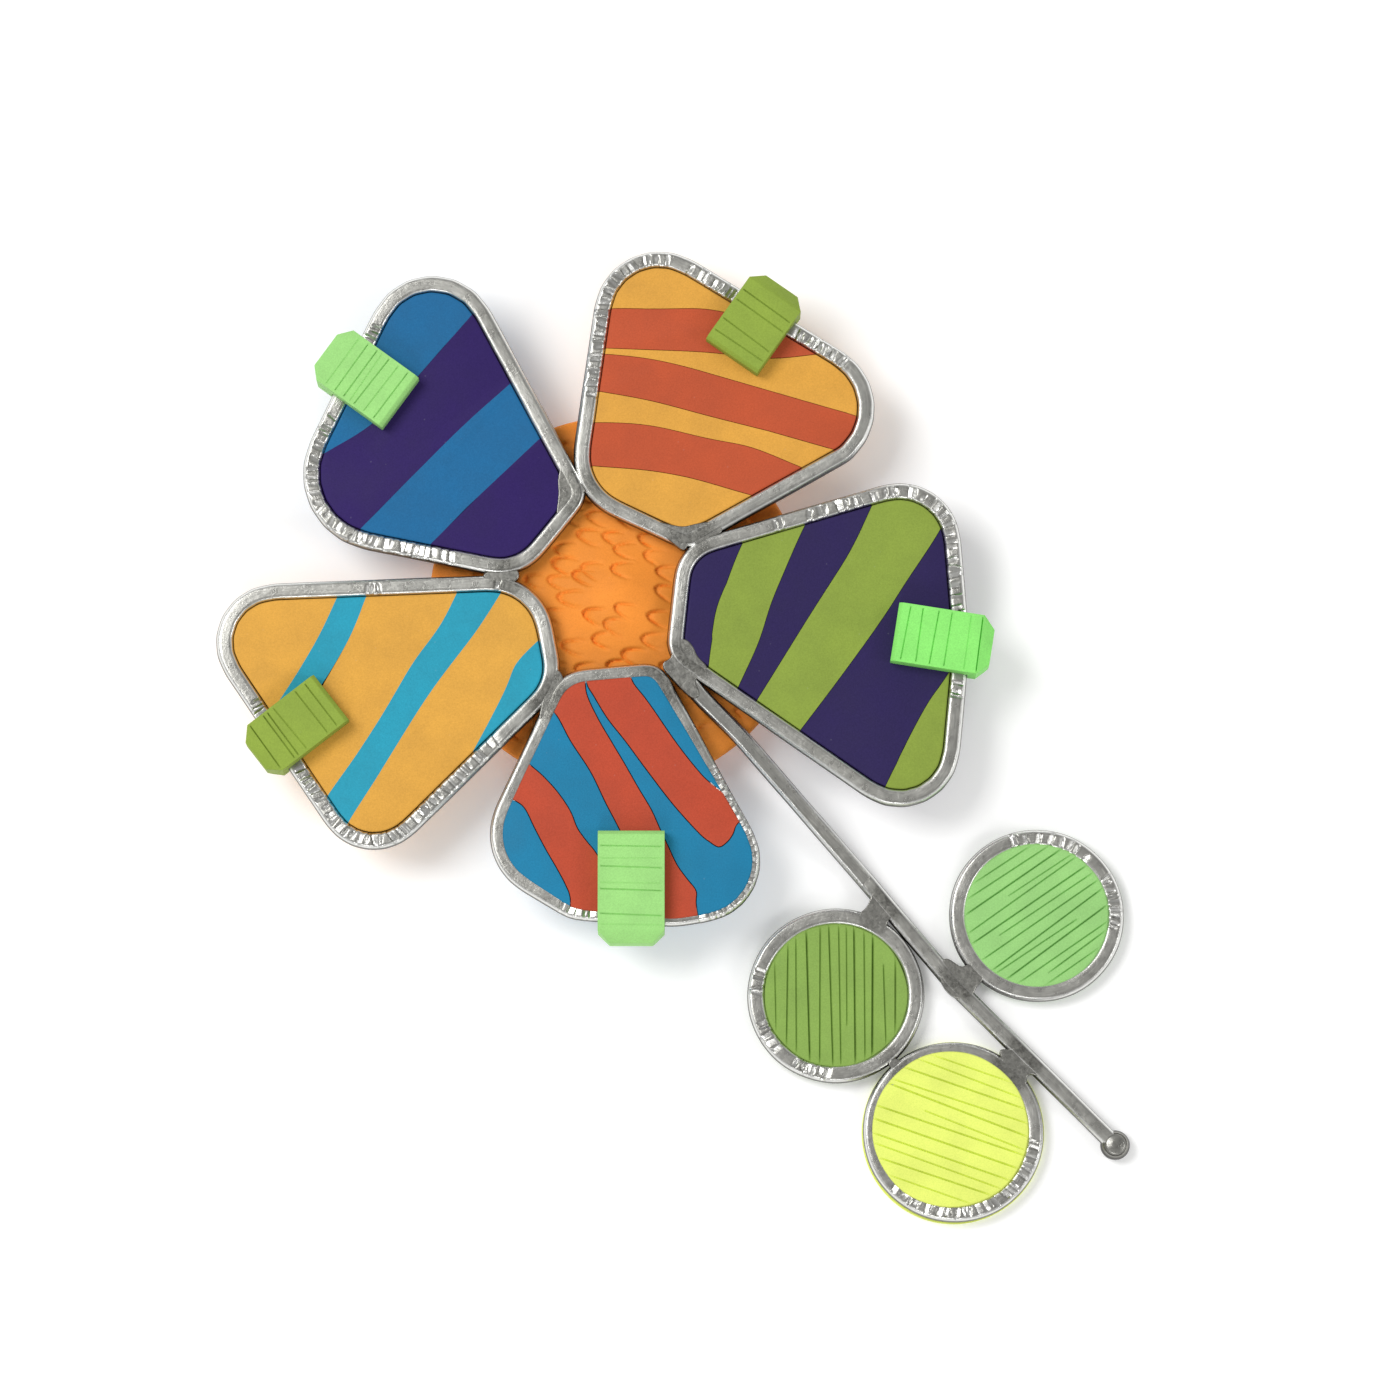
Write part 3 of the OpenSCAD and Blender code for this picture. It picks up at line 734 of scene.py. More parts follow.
STEM_WEBS = [
    [(24.9, -27.6), (25.8, -29.0), (25.6, -30.0), (25.2, -30.9), (24.3, -31.8), (25.7, -32.2),
     (26.8, -33.5), (27.2, -33.0), (27.4, -32.1), (28.2, -31.9), (28.3, -31.2), (27.5, -30.1),
     (26.7, -29.1), (25.9, -28.0)],
    [(32.6, -37.0), (32.6, -38.2), (33.2, -39.3), (34.0, -40.0), (35.2, -40.3), (36.0, -39.7),
     (36.3, -38.9), (36.9, -38.4), (37.1, -37.6), (36.2, -36.6), (35.5, -36.6), (34.8, -37.0),
     (34.1, -36.5), (33.1, -36.0)],
    [(38.5, -45.4), (39.4, -45.3), (40.4, -45.4), (41.6, -46.3), (43.2, -48.0), (42.4, -48.0),
     (41.4, -47.8), (41.2, -49.4), (40.3, -48.4), (39.4, -47.4)],
    [(27.6, -46.2), (28.7, -46.4), (29.2, -47.3), (28.4, -47.3), (27.4, -47.1)],
]


def smooth_outline(points):
    """A closed curve through given points, with six steps between each two."""
    p = np.array(points, float)
    t = np.linspace(0, 1, 6, endpoint=False)[:, None]
    a, b, c, d = np.roll(p, 1, 0), p, np.roll(p, -1, 0), np.roll(p, -2, 0)
    return np.vstack([
        0.5 * (2 * b[i] + (c[i] - a[i]) * t + (2 * a[i] - 5 * b[i] + 4 * c[i] - d[i]) * t * t
               + (3 * b[i] - a[i] - 3 * c[i] + d[i]) * t ** 3) for i in range(len(p))])


def weld_webs(name, node, webs, top):
    """Flat webs of weld metal between the wires, filed level with them, with rounded edges."""
    bm = bmesh.new()
    kept = {part: bm.verts.layers.float.new(part) for part in ("filed", "weld", "cut")}
    thick = 1.1
    for web in webs:
        line = softened(spaced(smooth_outline([on_flower(*p) for p in web]), 0.12), 14)
        cap = extruded(bm, line, top - thick, top)
        bevelled(bm, cap.edges[:], 0.12)
    bmesh.ops.recalc_face_normals(bm, faces=bm.faces)
    for v in bm.verts:
        # below the filed top the webs' sides take the dark scale colour, a painted shade
        v[kept["filed"]] = float(smoothstep(top - 0.5, top - 0.1, v.co.z))
        v[kept["weld"]] = 0.8
    return flat_topped(finish_piece(
        name, bm, finish_named("steel"), [node], crease=50))


# ---- clay ----

# How far the clay of the lowest petal is pressed out over its wire: a point on the petal's edge and
# the reach there
OVERLAP = [
    ((-5, -8.6), 0.45), ((3.9, -7.8), 0.45), ((7.5, -12.5), 0.7), ((12, -22), 1.0),
    ((16, -30), 1.0), ((10, -32.6), 1.05), ((3, -32.8), 1.05), ((-4, -31.9), 0.7),
    ((-9.5, -29.5), 0.5), ((-13.4, -25.5), 0.5), ((-10, -18), 0.5)]


def petal_edge(number):
    """A petal's outer edge, the direction away from it, and how far its clay lies over the wire
    at each point."""
    edge = back_edge(number)
    count = len(edge)
    if number != LOWEST:
        return edge, outward(edge), np.zeros(count)
    marks = sorted((int(np.argmin(np.linalg.norm(edge - on_flower(*p), axis=1))), reach)
                   for p, reach in OVERLAP)
    places = [m[0] + count * turn for turn in (-1, 0, 1) for m in marks]
    return edge, outward(edge), np.interp(np.arange(count), places, [m[1] for m in marks] * 3)


def rolled_sheet(number, foot, top, roll):
    """A petal's whole sheet of clay, with its edge rolled over."""
    edge, away, reach = petal_edge(number)
    line = edge + away * (reach - CLAY_INSET)[:, None]
    ahead = np.sum((np.roll(line, -1, 0) - line) * (np.roll(edge, -1, 0) - edge), axis=1)
    line = softened(line[ahead > 0], 4)[::3]
    bm = bmesh.new()
    cap = extruded(bm, line, foot, top)
    bevelled(bm, cap.edges[:], roll, clamp=False)
    bmesh.ops.recalc_face_normals(bm, faces=bm.faces)
    return bm


def combined(first, second, operation):
    """What a boolean makes of two closed shapes, as one new bmesh."""
    held = []
    for bm in (first, second):
        mesh = bpy.data.meshes.new("shape")
        bm.to_mesh(mesh)
        bm.free()
        held.append(bpy.data.objects.new("shape", mesh))
        bpy.context.scene.collection.objects.link(held[-1])
    cut = held[0].modifiers.new("combined", "BOOLEAN")
    cut.operation, cut.solver, cut.object = operation, "EXACT", held[1]
    made = bmesh.new()
    made.from_object(held[0], bpy.context.evaluated_depsgraph_get())
    for each in held:
        bpy.data.meshes.remove(each.data)
    if not made.faces:
        raise RuntimeError("the boolean left nothing")
    return made


# How far from the back's edge a seam's shape is free, and the stretch over which a colour's area
# goes from moved past the sheet's edge, by PAST_EDGE, to left where it is
SEAM_FREE = 1.85
MOVED, LEFT = 1.6, 6.5
PAST_EDGE = 0.35


def ease_seams(bm, edge):
    """Turns the corners of the lines where two colours meet into slow curves. Their ends, at the
    petal's edge, stay."""
    def inside(v):
        return float(np.min(np.linalg.norm(edge - np.array(v.co[:2]), axis=1))) > SEAM_FREE

    seams = [e for e in bm.edges if abs(e.verts[0].co.z - e.verts[1].co.z) < 0.1
             and any(inside(v) for v in e.verts)]
    bmesh.ops.subdivide_edges(bm, edges=seams, cuts=5)
    moved = [v for v in bm.verts if inside(v)]
    for _ in range(60):
        bmesh.ops.smooth_vert(bm, verts=moved, factor=0.5, use_axis_x=True, use_axis_y=True)


# The bands of the lowest petal run out over its wire: points anticlockwise round each, on the
# flower
LAID_BANDS = [
    [(-12.5, -19.6), (-10.2, -20.8), (-9.2, -21.6), (-8.2, -23.6), (-7.1, -25.7), (-6.0, -27.6),
     (-5.1, -29.3), (-4.6, -30.8), (-4.4, -34.5), (0.5, -34.5), (0.6, -31.5), (0.2, -29.6),
     (-2.1, -26.0), (-2.9, -25.0), (-3.9, -23.6), (-4.6, -21.9), (-5.7, -20.2), (-6.9, -18.8),
     (-8.3, -17.5), (-11.0, -15.6)],
    [(-7.6, -10.2), (-6.0, -12.2), (-4.6, -14.8), (-2.6, -17.9), (-1.1, -21.0), (0.3, -23.7),
     (2.4, -28.0), (3.8, -34.5), (8.0, -34.5), (8.0, -31.1), (8.0, -29.9), (7.1, -28.7),
     (6.1, -27.3), (5.2, -25.4), (4.4, -23.7), (3.5, -21.7), (2.2, -19.5), (0.9, -17.2),
     (-0.4, -15.0), (-1.8, -12.6), (-2.9, -10.3), (-3.15, -8.9), (-3.2, -7.0), (-6.5, -7.5)],
    [(-3.0, -7.0), (-3.0, -8.9), (-2.3, -10.2), (-0.9, -12.5), (0.9, -14.8), (3.1, -17.8),
     (5.7, -21.2), (8.3, -24.1), (9.4, -25.0), (10.3, -25.5), (11.1, -25.0), (11.7, -24.2),
     (12.1, -23.2), (13.2, -22.2), (13.4, -20.8), (12.2, -20.6), (10.8, -20.0), (9.7, -19.2),
     (8.5, -18.1), (6.2, -15.2), (3.8, -11.7), (2.8, -10.3), (1.7, -8.9), (0.6, -7.0)],
]
# Half of the shadowed gap where two colours meet, in each petal that shows one
SEAM = {2: 0.03, 3: 0.025, LOWEST: 0.05}
# How much the bands of a petal stand above its ground, and how much thicker the lowest petal's
# sheet is, where it lies on the wire
BAND_STEP = {2: 0.03, LOWEST: 0.05}
LAID_LIFT = 0.2


def laid_clay(part, foot, top, roll):
    """One colour of the lowest petal's sheet, cut to the outlines of its bands."""
    bands = []
    for points in LAID_BANDS:
        line = spaced(smooth_outline([on_flower(*p) for p in points]), 0.3)
        line = line + outward(line) * SEAM[LOWEST] * (1 if part == "inlay" else -1)
        bands.append(bmesh.new())
        extruded(bands[-1], line, foot - 1, top + 1)
        bmesh.ops.recalc_face_normals(bands[-1], faces=bands[-1].faces)
    if part == "inlay":
        ground = rolled_sheet(LOWEST, foot, top, roll)
        for band in bands:
            ground = combined(ground, band, "DIFFERENCE")
        return ground
    made = bmesh.new()
    for band in bands:
        piece = combined(rolled_sheet(LOWEST, foot, top, roll), band, "INTERSECT")
        mesh = bpy.data.meshes.new("band")
        piece.to_mesh(mesh)
        piece.free()
        made.from_mesh(mesh)
        bpy.data.meshes.remove(mesh)
    return made


def grown_area(area, number, foot, top):
    """Readies the area of one colour to cut a sheet: its seams are eased and taken in by half of
    the gap, its outer side is moved past the sheet's edge, and it is made taller."""
    edge, away, _ = petal_edge(number)
    ease_seams(area, edge)
    area.normal_update()
    for v in area.verts:
        v.co -= SEAM.get(number, 0) * Vector((v.normal.x, v.normal.y, 0)).normalized()
    for v in area.verts:
        gaps = np.linalg.norm(edge - np.array(v.co[:2]), axis=1)
        near = int(np.argmin(gaps))
        share = PAST_EDGE * (1 - float(smoothstep(MOVED, LEFT, gaps[near])))
        v.co.x += away[near][0] * share
        v.co.y += away[near][1] * share
        v.co.z += 1 if v.co.z > (foot + top) / 2 else -1
    return area


def clay_sheet(number, part, clay_name):
    """One colour of a petal's patterned sheet, cut crisply where it meets the other colour."""
    roll = bpy.context.scene.brooch_clay.edge / MM
    area = copy_of(f"petal_{number}_{part}")
    foot, top = (f(v.co.z for v in area.verts) for f in (min, max))
    raised = BAND_STEP.get(number, 0) * (part == "strips") + LAID_LIFT * (number == LOWEST)
    if number == LOWEST:
        area.free()
        bm = laid_clay(part, foot, top + raised, roll)
    else:
        bm = combined(rolled_sheet(number, foot, top + raised, roll),
                      grown_area(area, number, foot, top), "INTERSECT")
    name = {"inlay": "clay_ground", "strips": "clay_bands"}[part]
    return finish_piece(f"petal_{number}_{name}", bm, finish_named("clay", clay_name),
                        [f"petal_{number}_{part}"], crease=20)


def clay_back(node, name, clay_name):
    """A thin sheet of clay behind a frame, with its cut edge rubbed round."""
    bm = copy_of(node)
    weight = bm.edges.layers.float.new("bevel_weight_edge")
    for e in bm.edges:
        if len(e.link_faces) == 2 and e.calc_face_angle() > 1:
            e[weight] = 1
    piece = finish_piece(name, bm, finish_named("clay", clay_name), [node])
    return rounded_edges(piece, 0.14, limit_method="WEIGHT", use_clamp_overlap=False)


def groove(bm, along, start, lines, top, reach, rim=100, fade=0.5):
    """Cuts V grooves across the top of a piece. along is the direction that the grooves follow one
    another in, and start the point that they are measured from. Each line is its place, half its
    width, its depth, its slant, and the stretch across that it covers. reach is how far below the
    top the surface still moves, fade half the length over which a groove's end dies out, and rim
    how far from the start the grooves are nearly gone."""
    along = Vector((*along, 0))
    side = Vector((-along.y, along.x, 0))
    for place, half, depth, slant, near, far in lines:
        normal = (along + slant * side).normalized()
        for off in (-half, 0, half):
            cut_across(bm, start + along * (place + off), normal)
    for v in bm.verts:
        if v.co.z < top - reach:
            continue
        off = v.co - start
        over = off.dot(side)
        down = 0
        for place, half, depth, slant, near, far in lines:
            gap = abs(off.dot(along) + slant * over - place)
            shape = max(0, 1 - gap / (half * 0.98))
            down = max(down, depth * shape * float(
                smoothstep(near - fade, near + fade, over)
                * smoothstep(far + fade, far - fade, over)))
        v.co.z -= down * (1 - 0.75 * float(smoothstep(rim - 1.0, rim, off.xy.length)))


# Each tab: the direction that it points outwards, its clay, and the grooves across it, as places
# from the wire outwards and depths
TAB_LINES = [
    (144, "mint", [(-4.8, 0.14), (-3.6, 0.09), (-2.4, 0.15), (-1.7, 0.07), (-1.0, 0.15),
                   (0.1, 0.13), (1.2, 0.07)]),
    (55, "olive", [(-4.5, 0.14), (-3.2, 0.15), (-0.8, 0.15), (0.4, 0.19)]),
    (-9, "bright_green", [(-5.6, 0.15), (-4.2, 0.16), (-2.7, 0.17), (-1.3, 0.14), (0.7, 0.07),
                          (1.9, 0.15)]),
    (218, "olive", [(-5.5, 0.16), (-4.3, 0.13), (-1.6, 0.1), (-0.7, 0.19), (-0.2, 0.19),
                    (1.5, 0.12)]),
    (270, "mint", [(-6.8, 0.14), (-5.6, 0.05), (-4.7, 0.14), (-3.1, 0.05), (-2.4, 0.17),
                   (0.1, 0.15), (1.1, 0.05)]),
]
TAB_PLACES = [(-26.7, 23), (14.9, 29), (34.6, -4.9), (-34, -14.7), (1.5, -32.4)]


def clay_tab(number):
    """A folded tab of clay with grooves pressed across it."""
    draw = random.Random(40 + number)
    node = f"petal_{number}_tab"
    low, high = box(node)
    degrees, clay_name, lines = TAB_LINES[number - 1]
    turn = math.radians(degrees)
    bm = copy_of(node)
    sharp = [e for e in bm.edges if len(e.link_faces) == 2 and e.is_convex
             and e.calc_face_angle() > 0.45 and min(v.co.z for v in e.verts) > low[2] + 0.2]
    bevelled(bm, sharp, 0.16, segments=2)
    start = Vector((*on_flower(*TAB_PLACES[number - 1]), 0))
    side = Vector((-math.sin(turn), math.cos(turn), 0))
    half = max(abs((v.co - start).dot(side)) for v in bm.verts)
    # the grooves stop short of the tab's sides
    for inset in (0.22, 0.5):
        for out in (-1, 1):
            cut_across(bm, start + side * out * (half - inset), side)
    ends = [(half - 0.36) * out for out in (-1, 1)]
    cuts = [(place, 0.085, depth * 2.2, draw.uniform(-0.04, 0.04), *ends)
            for place, depth in lines]
    groove(bm, (math.cos(turn), math.sin(turn)), start, cuts, high[2], reach=0.35, fade=0.14)
    return flat_topped(finish_piece(
        f"petal_{number}_clay_tab", bm, finish_named("clay", clay_name),
        [node], crease=28))


# Each leaf: its clay, the direction that its grooves follow one another in, and each groove's
# place from the middle, its depth, and how much of the disc it crosses from each side
LEAF_LINES = [
    ("leaf_green", 0, [
        (-6.1, 0.10, -9, 9), (-4.9, 0.14, -9, 9), (-4.0, 0.12, -9, 9), (-2.8, 0.2, -9, 9),
        (-1.6, 0.13, -9, 9), (-0.5, 0.16, -9, 9), (0.4, 0.12, -9, 9), (1.1, 0.1, -3, 9),
        (1.9, 0.2, -9, 9), (2.9, 0.12, -9, 9), (3.7, 0.24, -9, 9), (4.9, 0.12, -9, 3),
        (6.0, 0.16, -9, 9)]),
    ("pale_green", 125, [
        (-6.3, 0.12, -9, 9), (-5.4, 0.14, -9, 2), (-4.6, 0.13, -9, 9), (-3.4, 0.18, -9, 9),
        (-2.6, 0.12, -3, 9), (-1.8, 0.16, -9, 9), (-0.6, 0.14, -9, 9), (0.4, 0.12, -9, 4),
        (1.3, 0.17, -9, 9), (2.5, 0.13, -9, 9), (3.2, 0.1, -9, 1), (4.1, 0.18, -9, 9),
        (5.2, 0.13, -9, 9), (6.2, 0.12, -9, 9)]),
    ("yellow_green", 70, [
        (-6.4, 0.12, -9, 9), (-5.0, 0.16, -9, 9), (-3.9, 0.13, -9, 9), (-2.9, 0.16, -9, 9),
        (-1.5, 0.18, -9, 9), (-0.1, 0.17, -9, 9), (0.8, 0.13, -9, 3), (2.1, 0.18, -9, 9),
        (3.0, 0.14, -9, 9), (4.4, 0.17, -9, 9), (5.5, 0.13, -9, 9), (6.5, 0.12, -9, 9)]),
]


def clay_leaf(number):
    """A leaf's disc of clay with grooves drawn across it by hand, uneven in place and length."""
    draw = random.Random(50 + number)
    node = f"leaf_{number}_disc"
    low, high = box(node)
    centre = (low + high) / 2
    clay_name, degrees, lines = LEAF_LINES[number - 1]
    turn = math.radians(degrees)
    along = Vector((math.cos(turn), math.sin(turn), 0))
    side = Vector((-along.y, along.x, 0))
    # the clay is pressed up to the wire, and on the last leaf a little over it and off centre
    radius = (high[0] - low[0]) / 2 + (0.15, 0.3, 0.6)[number - 1]
    if number == 3:
        centre = centre + [-0.3, 0.22, 0]
    bm = bmesh.new()
    turns = np.arange(150) * 2 * math.pi / 150
    wobble = radius + 0.05 * drift(turns, 2 * math.pi, draw, (3, 5, 9))
    line = centre[:2] + np.column_stack([np.cos(turns), np.sin(turns)]) * wobble[:, None]
    lift = (0.02, 0.08, 0.24)[number - 1]
    cap = extruded(bm, line, low[2], high[2] + lift)
    bevelled(bm, cap.edges[:], 0.22)
    bmesh.ops.recalc_face_normals(bm, faces=bm.faces)
    start = Vector((centre[0], centre[1], 0))
    for step in range(-11, 12):
        cut_across(bm, start + side * step * 0.62, side)
    cuts = [(place, 0.06 + 0.3 * depth, depth * 1.7, draw.uniform(-0.03, 0.03), near, far)
            for place, depth, near, far in lines]
    groove(bm, along[:2], start, cuts, high[2] + lift, reach=0.3, rim=radius)
    return finish_piece(f"leaf_{number}_clay_disc", bm, finish_named("clay", clay_name),
                        [node], crease=28)


# The gouged scales that show between the petals: the nose of each, on the flower
SCALES = [
    (-0.3, 5.2), (2.2, 6.4), (-3.6, 3.3), (-4.5, 2.6), (-0.6, 3.1), (4.0, 3.0), (3.9, 1.1),
    (-6.0, 0.3), (-0.2, -0.9), (-3.4, -1.4), (3.1, -1.7), (-7.5, -1.3), (-2.5, -4.0),
    (2.5, -4.0), (0.5, -5.5), (-4.2, -7.0), (-6.4, 5.3), (-6.6, 3.9)]


def scale_depth(x, y, noses, draw):
    """How deep the gouged scales are at each point, from 0 to 1. Each is a U that opens to the
    right. It is deepest at its nose, and its two lines fade."""
    deep = np.zeros_like(x)
    for nx, ny in noses:
        turn = math.radians(draw.uniform(-22, -8))
        long, wide = draw.uniform(2.2, 2.9), draw.uniform(0.68, 0.86)
        u = (x - nx) * math.cos(turn) + (y - ny) * math.sin(turn)
        v = -(x - nx) * math.sin(turn) + (y - ny) * math.cos(turn)
        half = wide * np.sqrt(np.clip(u / 1.5, 0, 1.15))
        line = np.exp(-((np.abs(v) - half) / 0.17) ** 2) * np.clip(1 - u / long, 0, 1)
        line = line * smoothstep(-0.22, 0.0, u)
        nose = smoothstep(-0.05, 0.16, half - np.abs(v)) * np.exp(-np.clip(u, 0, None) / 0.5)
        nose = nose * smoothstep(0.0, 0.08, u)
        deep = np.maximum(deep, draw.uniform(0.7, 1) * np.maximum(0.75 * line, nose))
    return deep


def flower_centre():
    """The domed clay centre with its rows of gouged scales. The bar is let into its back."""
    clay = bpy.context.scene.brooch_clay
    draw = random.Random(7)
    low, high = box("flower_centre")
    radius = (high[0] - low[0]) / 2
    foot = low[2]
    petal_foot = box("petal_1_back")[0][2]
    dome = high[2] - petal_foot
    edge_high = foot + 1.2
    dome_end, level_end = 6, 10.5

    def rise(r):
        """The height of the top at that distance from the middle."""
        if r < dome_end:
            return petal_foot + dome * math.cos(math.pi * r / (2 * dome_end)) ** 1.5
        if r < level_end:
            return petal_foot
        return petal_foot + (edge_high - petal_foot) * (r - level_end) / (
            radius - 0.5 - level_end)

    def underside():
        return [f for f in bm.faces if all(abs(v.co.z - foot) < 1e-4 for v in f.verts)]

    # the rings lie close together where the scales show
    inner = [0.13 * k for k in range(82)]
    outer = [10.7 + 0.26 * k for k in range(30)]
    profile = [(r, rise(r)) for r in inner + outer if r < radius - 0.5]
    profile += [(radius - 0.3, edge_high - 0.08), (radius - 0.1, edge_high - 0.3),
                (radius, edge_high - 0.6), (radius, foot + 0.5), (radius - 0.15, foot + 0.18),
                (radius - 0.5, foot), (0, foot)]
    bm = bmesh.new()
    line = [bm.verts.new((r, 0, z)) for r, z in profile]
    for a, b in zip(line, line[1:]):
        bm.edges.new((a, b))
    bmesh.ops.spin(bm, geom=bm.verts[:] + bm.edges[:], cent=(0, 0, 0), axis=(0, 0, 1),
                   angle=2 * math.pi, steps=300, use_merge=True)
    bmesh.ops.remove_doubles(bm, verts=bm.verts, dist=1e-4)
    bmesh.ops.recalc_face_normals(bm, faces=bm.faces)
    bmesh.ops.dissolve_faces(bm, faces=underside())
    # rows of scales, staggered, out to the edge, where they show in the gaps between petals
    noses = list(SCALES)
    for row in range(-8, 9):
        for place in range(-8, 9):
            x = 2.7 * place + 1.35 * (row % 2) + draw.uniform(-0.4, 0.4)
            y = 2.2 * row + draw.uniform(-0.3, 0.3)
            if math.hypot(x, y) < radius - 1.5 and all(
                    math.hypot(x - a, (y - b) * 1.2) > 2 for a, b in SCALES):
                noses.append((x, y))
    upper = [v for v in bm.verts if v.co.z > foot + 0.9 and math.hypot(*v.co[:2]) < radius - 0.2]
    x, y = np.array([v.co[:2] for v in upper]).T
    deep = scale_depth(x, y, noses, draw) * clay.mark_depth / MM
    lumps = 0.05 * np.sin(0.9 * x + 1) * np.sin(0.8 * y)
    for v, down, lump in zip(upper, deep, lumps):
        v.co.z += lump - down
    # the pocket for the bar
    bar_low, bar_high = box("pin_bar")
    bar_low = bar_low - [FLOWER[0], FLOWER[1], 0]
    bar_high = bar_high - [FLOWER[0], FLOWER[1], 0]
    gap = 0.03
    sides = [((bar_low[0] - gap, 0, 0), (1, 0, 0)), ((bar_high[0] + gap, 0, 0), (1, 0, 0)),
             ((0, bar_low[1] - gap, 0), (0, 1, 0)), ((0, bar_high[1] + gap, 0), (0, 1, 0))]
    for place, normal in sides:
        flat = underside()
        cut_across(bm, place, normal, flat + list(dict.fromkeys(
            part for f in flat for part in (*f.edges, *f.verts))))
    pocket = [f for f in underside()
              if bar_low[0] - 0.1 < f.calc_center_median().x < bar_high[0] + 0.1
              and bar_low[1] - 0.1 < f.calc_center_median().y < bar_high[1] + 0.1]
    grown = bmesh.ops.extrude_face_region(bm, geom=pocket)["geom"]
    bmesh.ops.delete(bm, geom=[f for f in pocket if f.is_valid], context="FACES_ONLY")
    raised = [g for g in grown if isinstance(g, bmesh.types.BMVert)]
    bmesh.ops.translate(bm, vec=(0, 0, bar_high[2] - foot + 0.01), verts=raised)
    bmesh.ops.translate(bm, vec=(FLOWER[0], FLOWER[1], 0), verts=bm.verts)
    # the clay that pressed through the bar's holes
    for side in (-1, 1):
        pip = bmesh.ops.create_uvsphere(bm, u_segments=32, v_segments=16, radius=0.9)["verts"]
        for v in pip:
            v.co.z = 0.35 * v.co.z
        bmesh.ops.translate(bm, verts=pip, vec=(
            FLOWER[0] + 5.5 * side, FLOWER[1] + (bar_low[1] + bar_high[1]) / 2, foot + 0.42))
    return finish_piece("flower_centre_scaled_clay", bm, finish_named("clay", "orange"),
                        ["flower_centre"], crease=60)


# ---- bar pin ----

def plated_part(node, name, width, body="root"):
    """A stamped and plated part, with its cut edges broken."""
    bm = copy_of(node)
    piece = finish_piece(name, bm, finish_named("nickel"), [node], body,
                         crease=30)
    return rounded_edges(piece, width, limit_method="ANGLE", angle_limit=math.radians(40))


# ---- stage ----

def aimed(name, data, target, azimuth, elevation, distance):
    """A lamp or a camera that looks at a point, from that side of it and that height."""
    a, e = math.radians(azimuth), math.radians(elevation)
    back = Vector((math.sin(a) * math.cos(e), -math.cos(a) * math.cos(e), math.sin(e)))
    held = bpy.data.objects.new(name, data)
    held.location = target + back * distance
    held.rotation_mode = "QUATERNION"
    held.rotation_quaternion = (-back).to_track_quat("-Z", "Y")
    bpy.context.scene.collection.objects.link(held)
    return held


# ---- operators ----

class BROOCH_OT_petal_wires(bpy.types.Operator):
    """Make the five petals' filed wire frames"""
    bl_idname = "brooch.petal_wires"
    bl_label = "Petal Wires"

    def execute(self, context):
        for number in PETALS:
            petal_wire(number)
        return {"FINISHED"}


class BROOCH_OT_leaf_wires(bpy.types.Operator):
    """Make the three leaves' filed wire rings"""
    bl_idname = "brooch.leaf_wires"
    bl_label = "Leaf Rings"

    def execute(self, context):
        for number in LEAVES:
            leaf_wire(number)
        return {"FINISHED"}


class BROOCH_OT_stem(bpy.types.Operator):
    """Make the two runs of the stem and the ball at its end"""
    bl_idname = "brooch.stem"
    bl_label = "Stem"

    def execute(self, context):
        height = box("stem_lower")[1][2] - box("stem_lower")[0][2]
        stem_wire("stem_upper_wire", "stem_upper", STEM_UPPER, height, 31, -0.03)
        stem_wire("stem_lower_wire", "stem_lower", STEM_LOWER, height, 32, -0.006)
        stem_ball()
        return {"FINISHED"}


class BROOCH_OT_welds(bpy.types.Operator):
    """Make the webs of weld metal between the wires"""
    bl_idname = "brooch.welds"
    bl_label = "Weld Webs"

    def execute(self, context):
        weld_webs("petal_weld_webs", "petal_welds", PETAL_WEBS, box("petal_1_rim")[1][2] - 0.03)
        weld_webs("stem_weld_webs", "stem_welds", STEM_WEBS, box("leaf_1_ring")[1][2] - 0.03)
        return {"FINISHED"}


class BROOCH_OT_petal_clay(bpy.types.Operator):
    """Make the petals' patterned clay sheets and their plain backs"""
    bl_idname = "brooch.petal_clay"
    bl_label = "Petal Clay"

    def execute(self, context):
        pairs = [("blue", "purple"), ("ochre", "brick"), ("violet", "moss"),
                 ("mustard", "teal"), ("sea_blue", "red")]
        for number, (ground, bands) in zip(PETALS, pairs):
            clay_sheet(number, "inlay", ground)
            clay_sheet(number, "strips", bands)
            clay_back(f"petal_{number}_back", f"petal_{number}_clay_back", ground)
        return {"FINISHED"}


class BROOCH_OT_tabs(bpy.types.Operator):
    """Make the five folded clay tabs"""
    bl_idname = "brooch.tabs"
    bl_label = "Clay Tabs"

    def execute(self, context):
        for number in PETALS:
            clay_tab(number)
        return {"FINISHED"}


class BROOCH_OT_leaf_clay(bpy.types.Operator):
    """Make the three leaves' grooved discs and their backs"""
    bl_idname = "brooch.leaf_clay"
    bl_label = "Leaf Clay"

    def execute(self, context):
        for number in LEAVES:
            clay_leaf(number)
            clay_back(f"leaf_{number}_back", f"leaf_{number}_clay_back",
                      LEAF_LINES[number - 1][0])
        return {"FINISHED"}


class BROOCH_OT_centre(bpy.types.Operator):
    """Make the flower's domed and scaled clay centre"""
    bl_idname = "brooch.centre"
    bl_label = "Flower Centre"

    def execute(self, context):
        flower_centre()
        return {"FINISHED"}


class BROOCH_OT_bar_pin(bpy.types.Operator):
    """Make the plated bar, its rivet, the needle and the turning catch"""
    bl_idname = "brooch.bar_pin"
    bl_label = "Bar Pin"

    def execute(self, context):
        plated_part("pin_bar", "bar_with_ears", 0.08)
        plated_part("pin_rivet", "hinge_rivet", 0.06)
        plated_part("pin_needle", "hinged_needle", 0.03, "needle")
        plated_part("catch_housing", "catch_shell", 0.05)
        plated_part("catch_rotor", "catch_barrel", 0.04, "safety_catch")
        return {"FINISHED"}


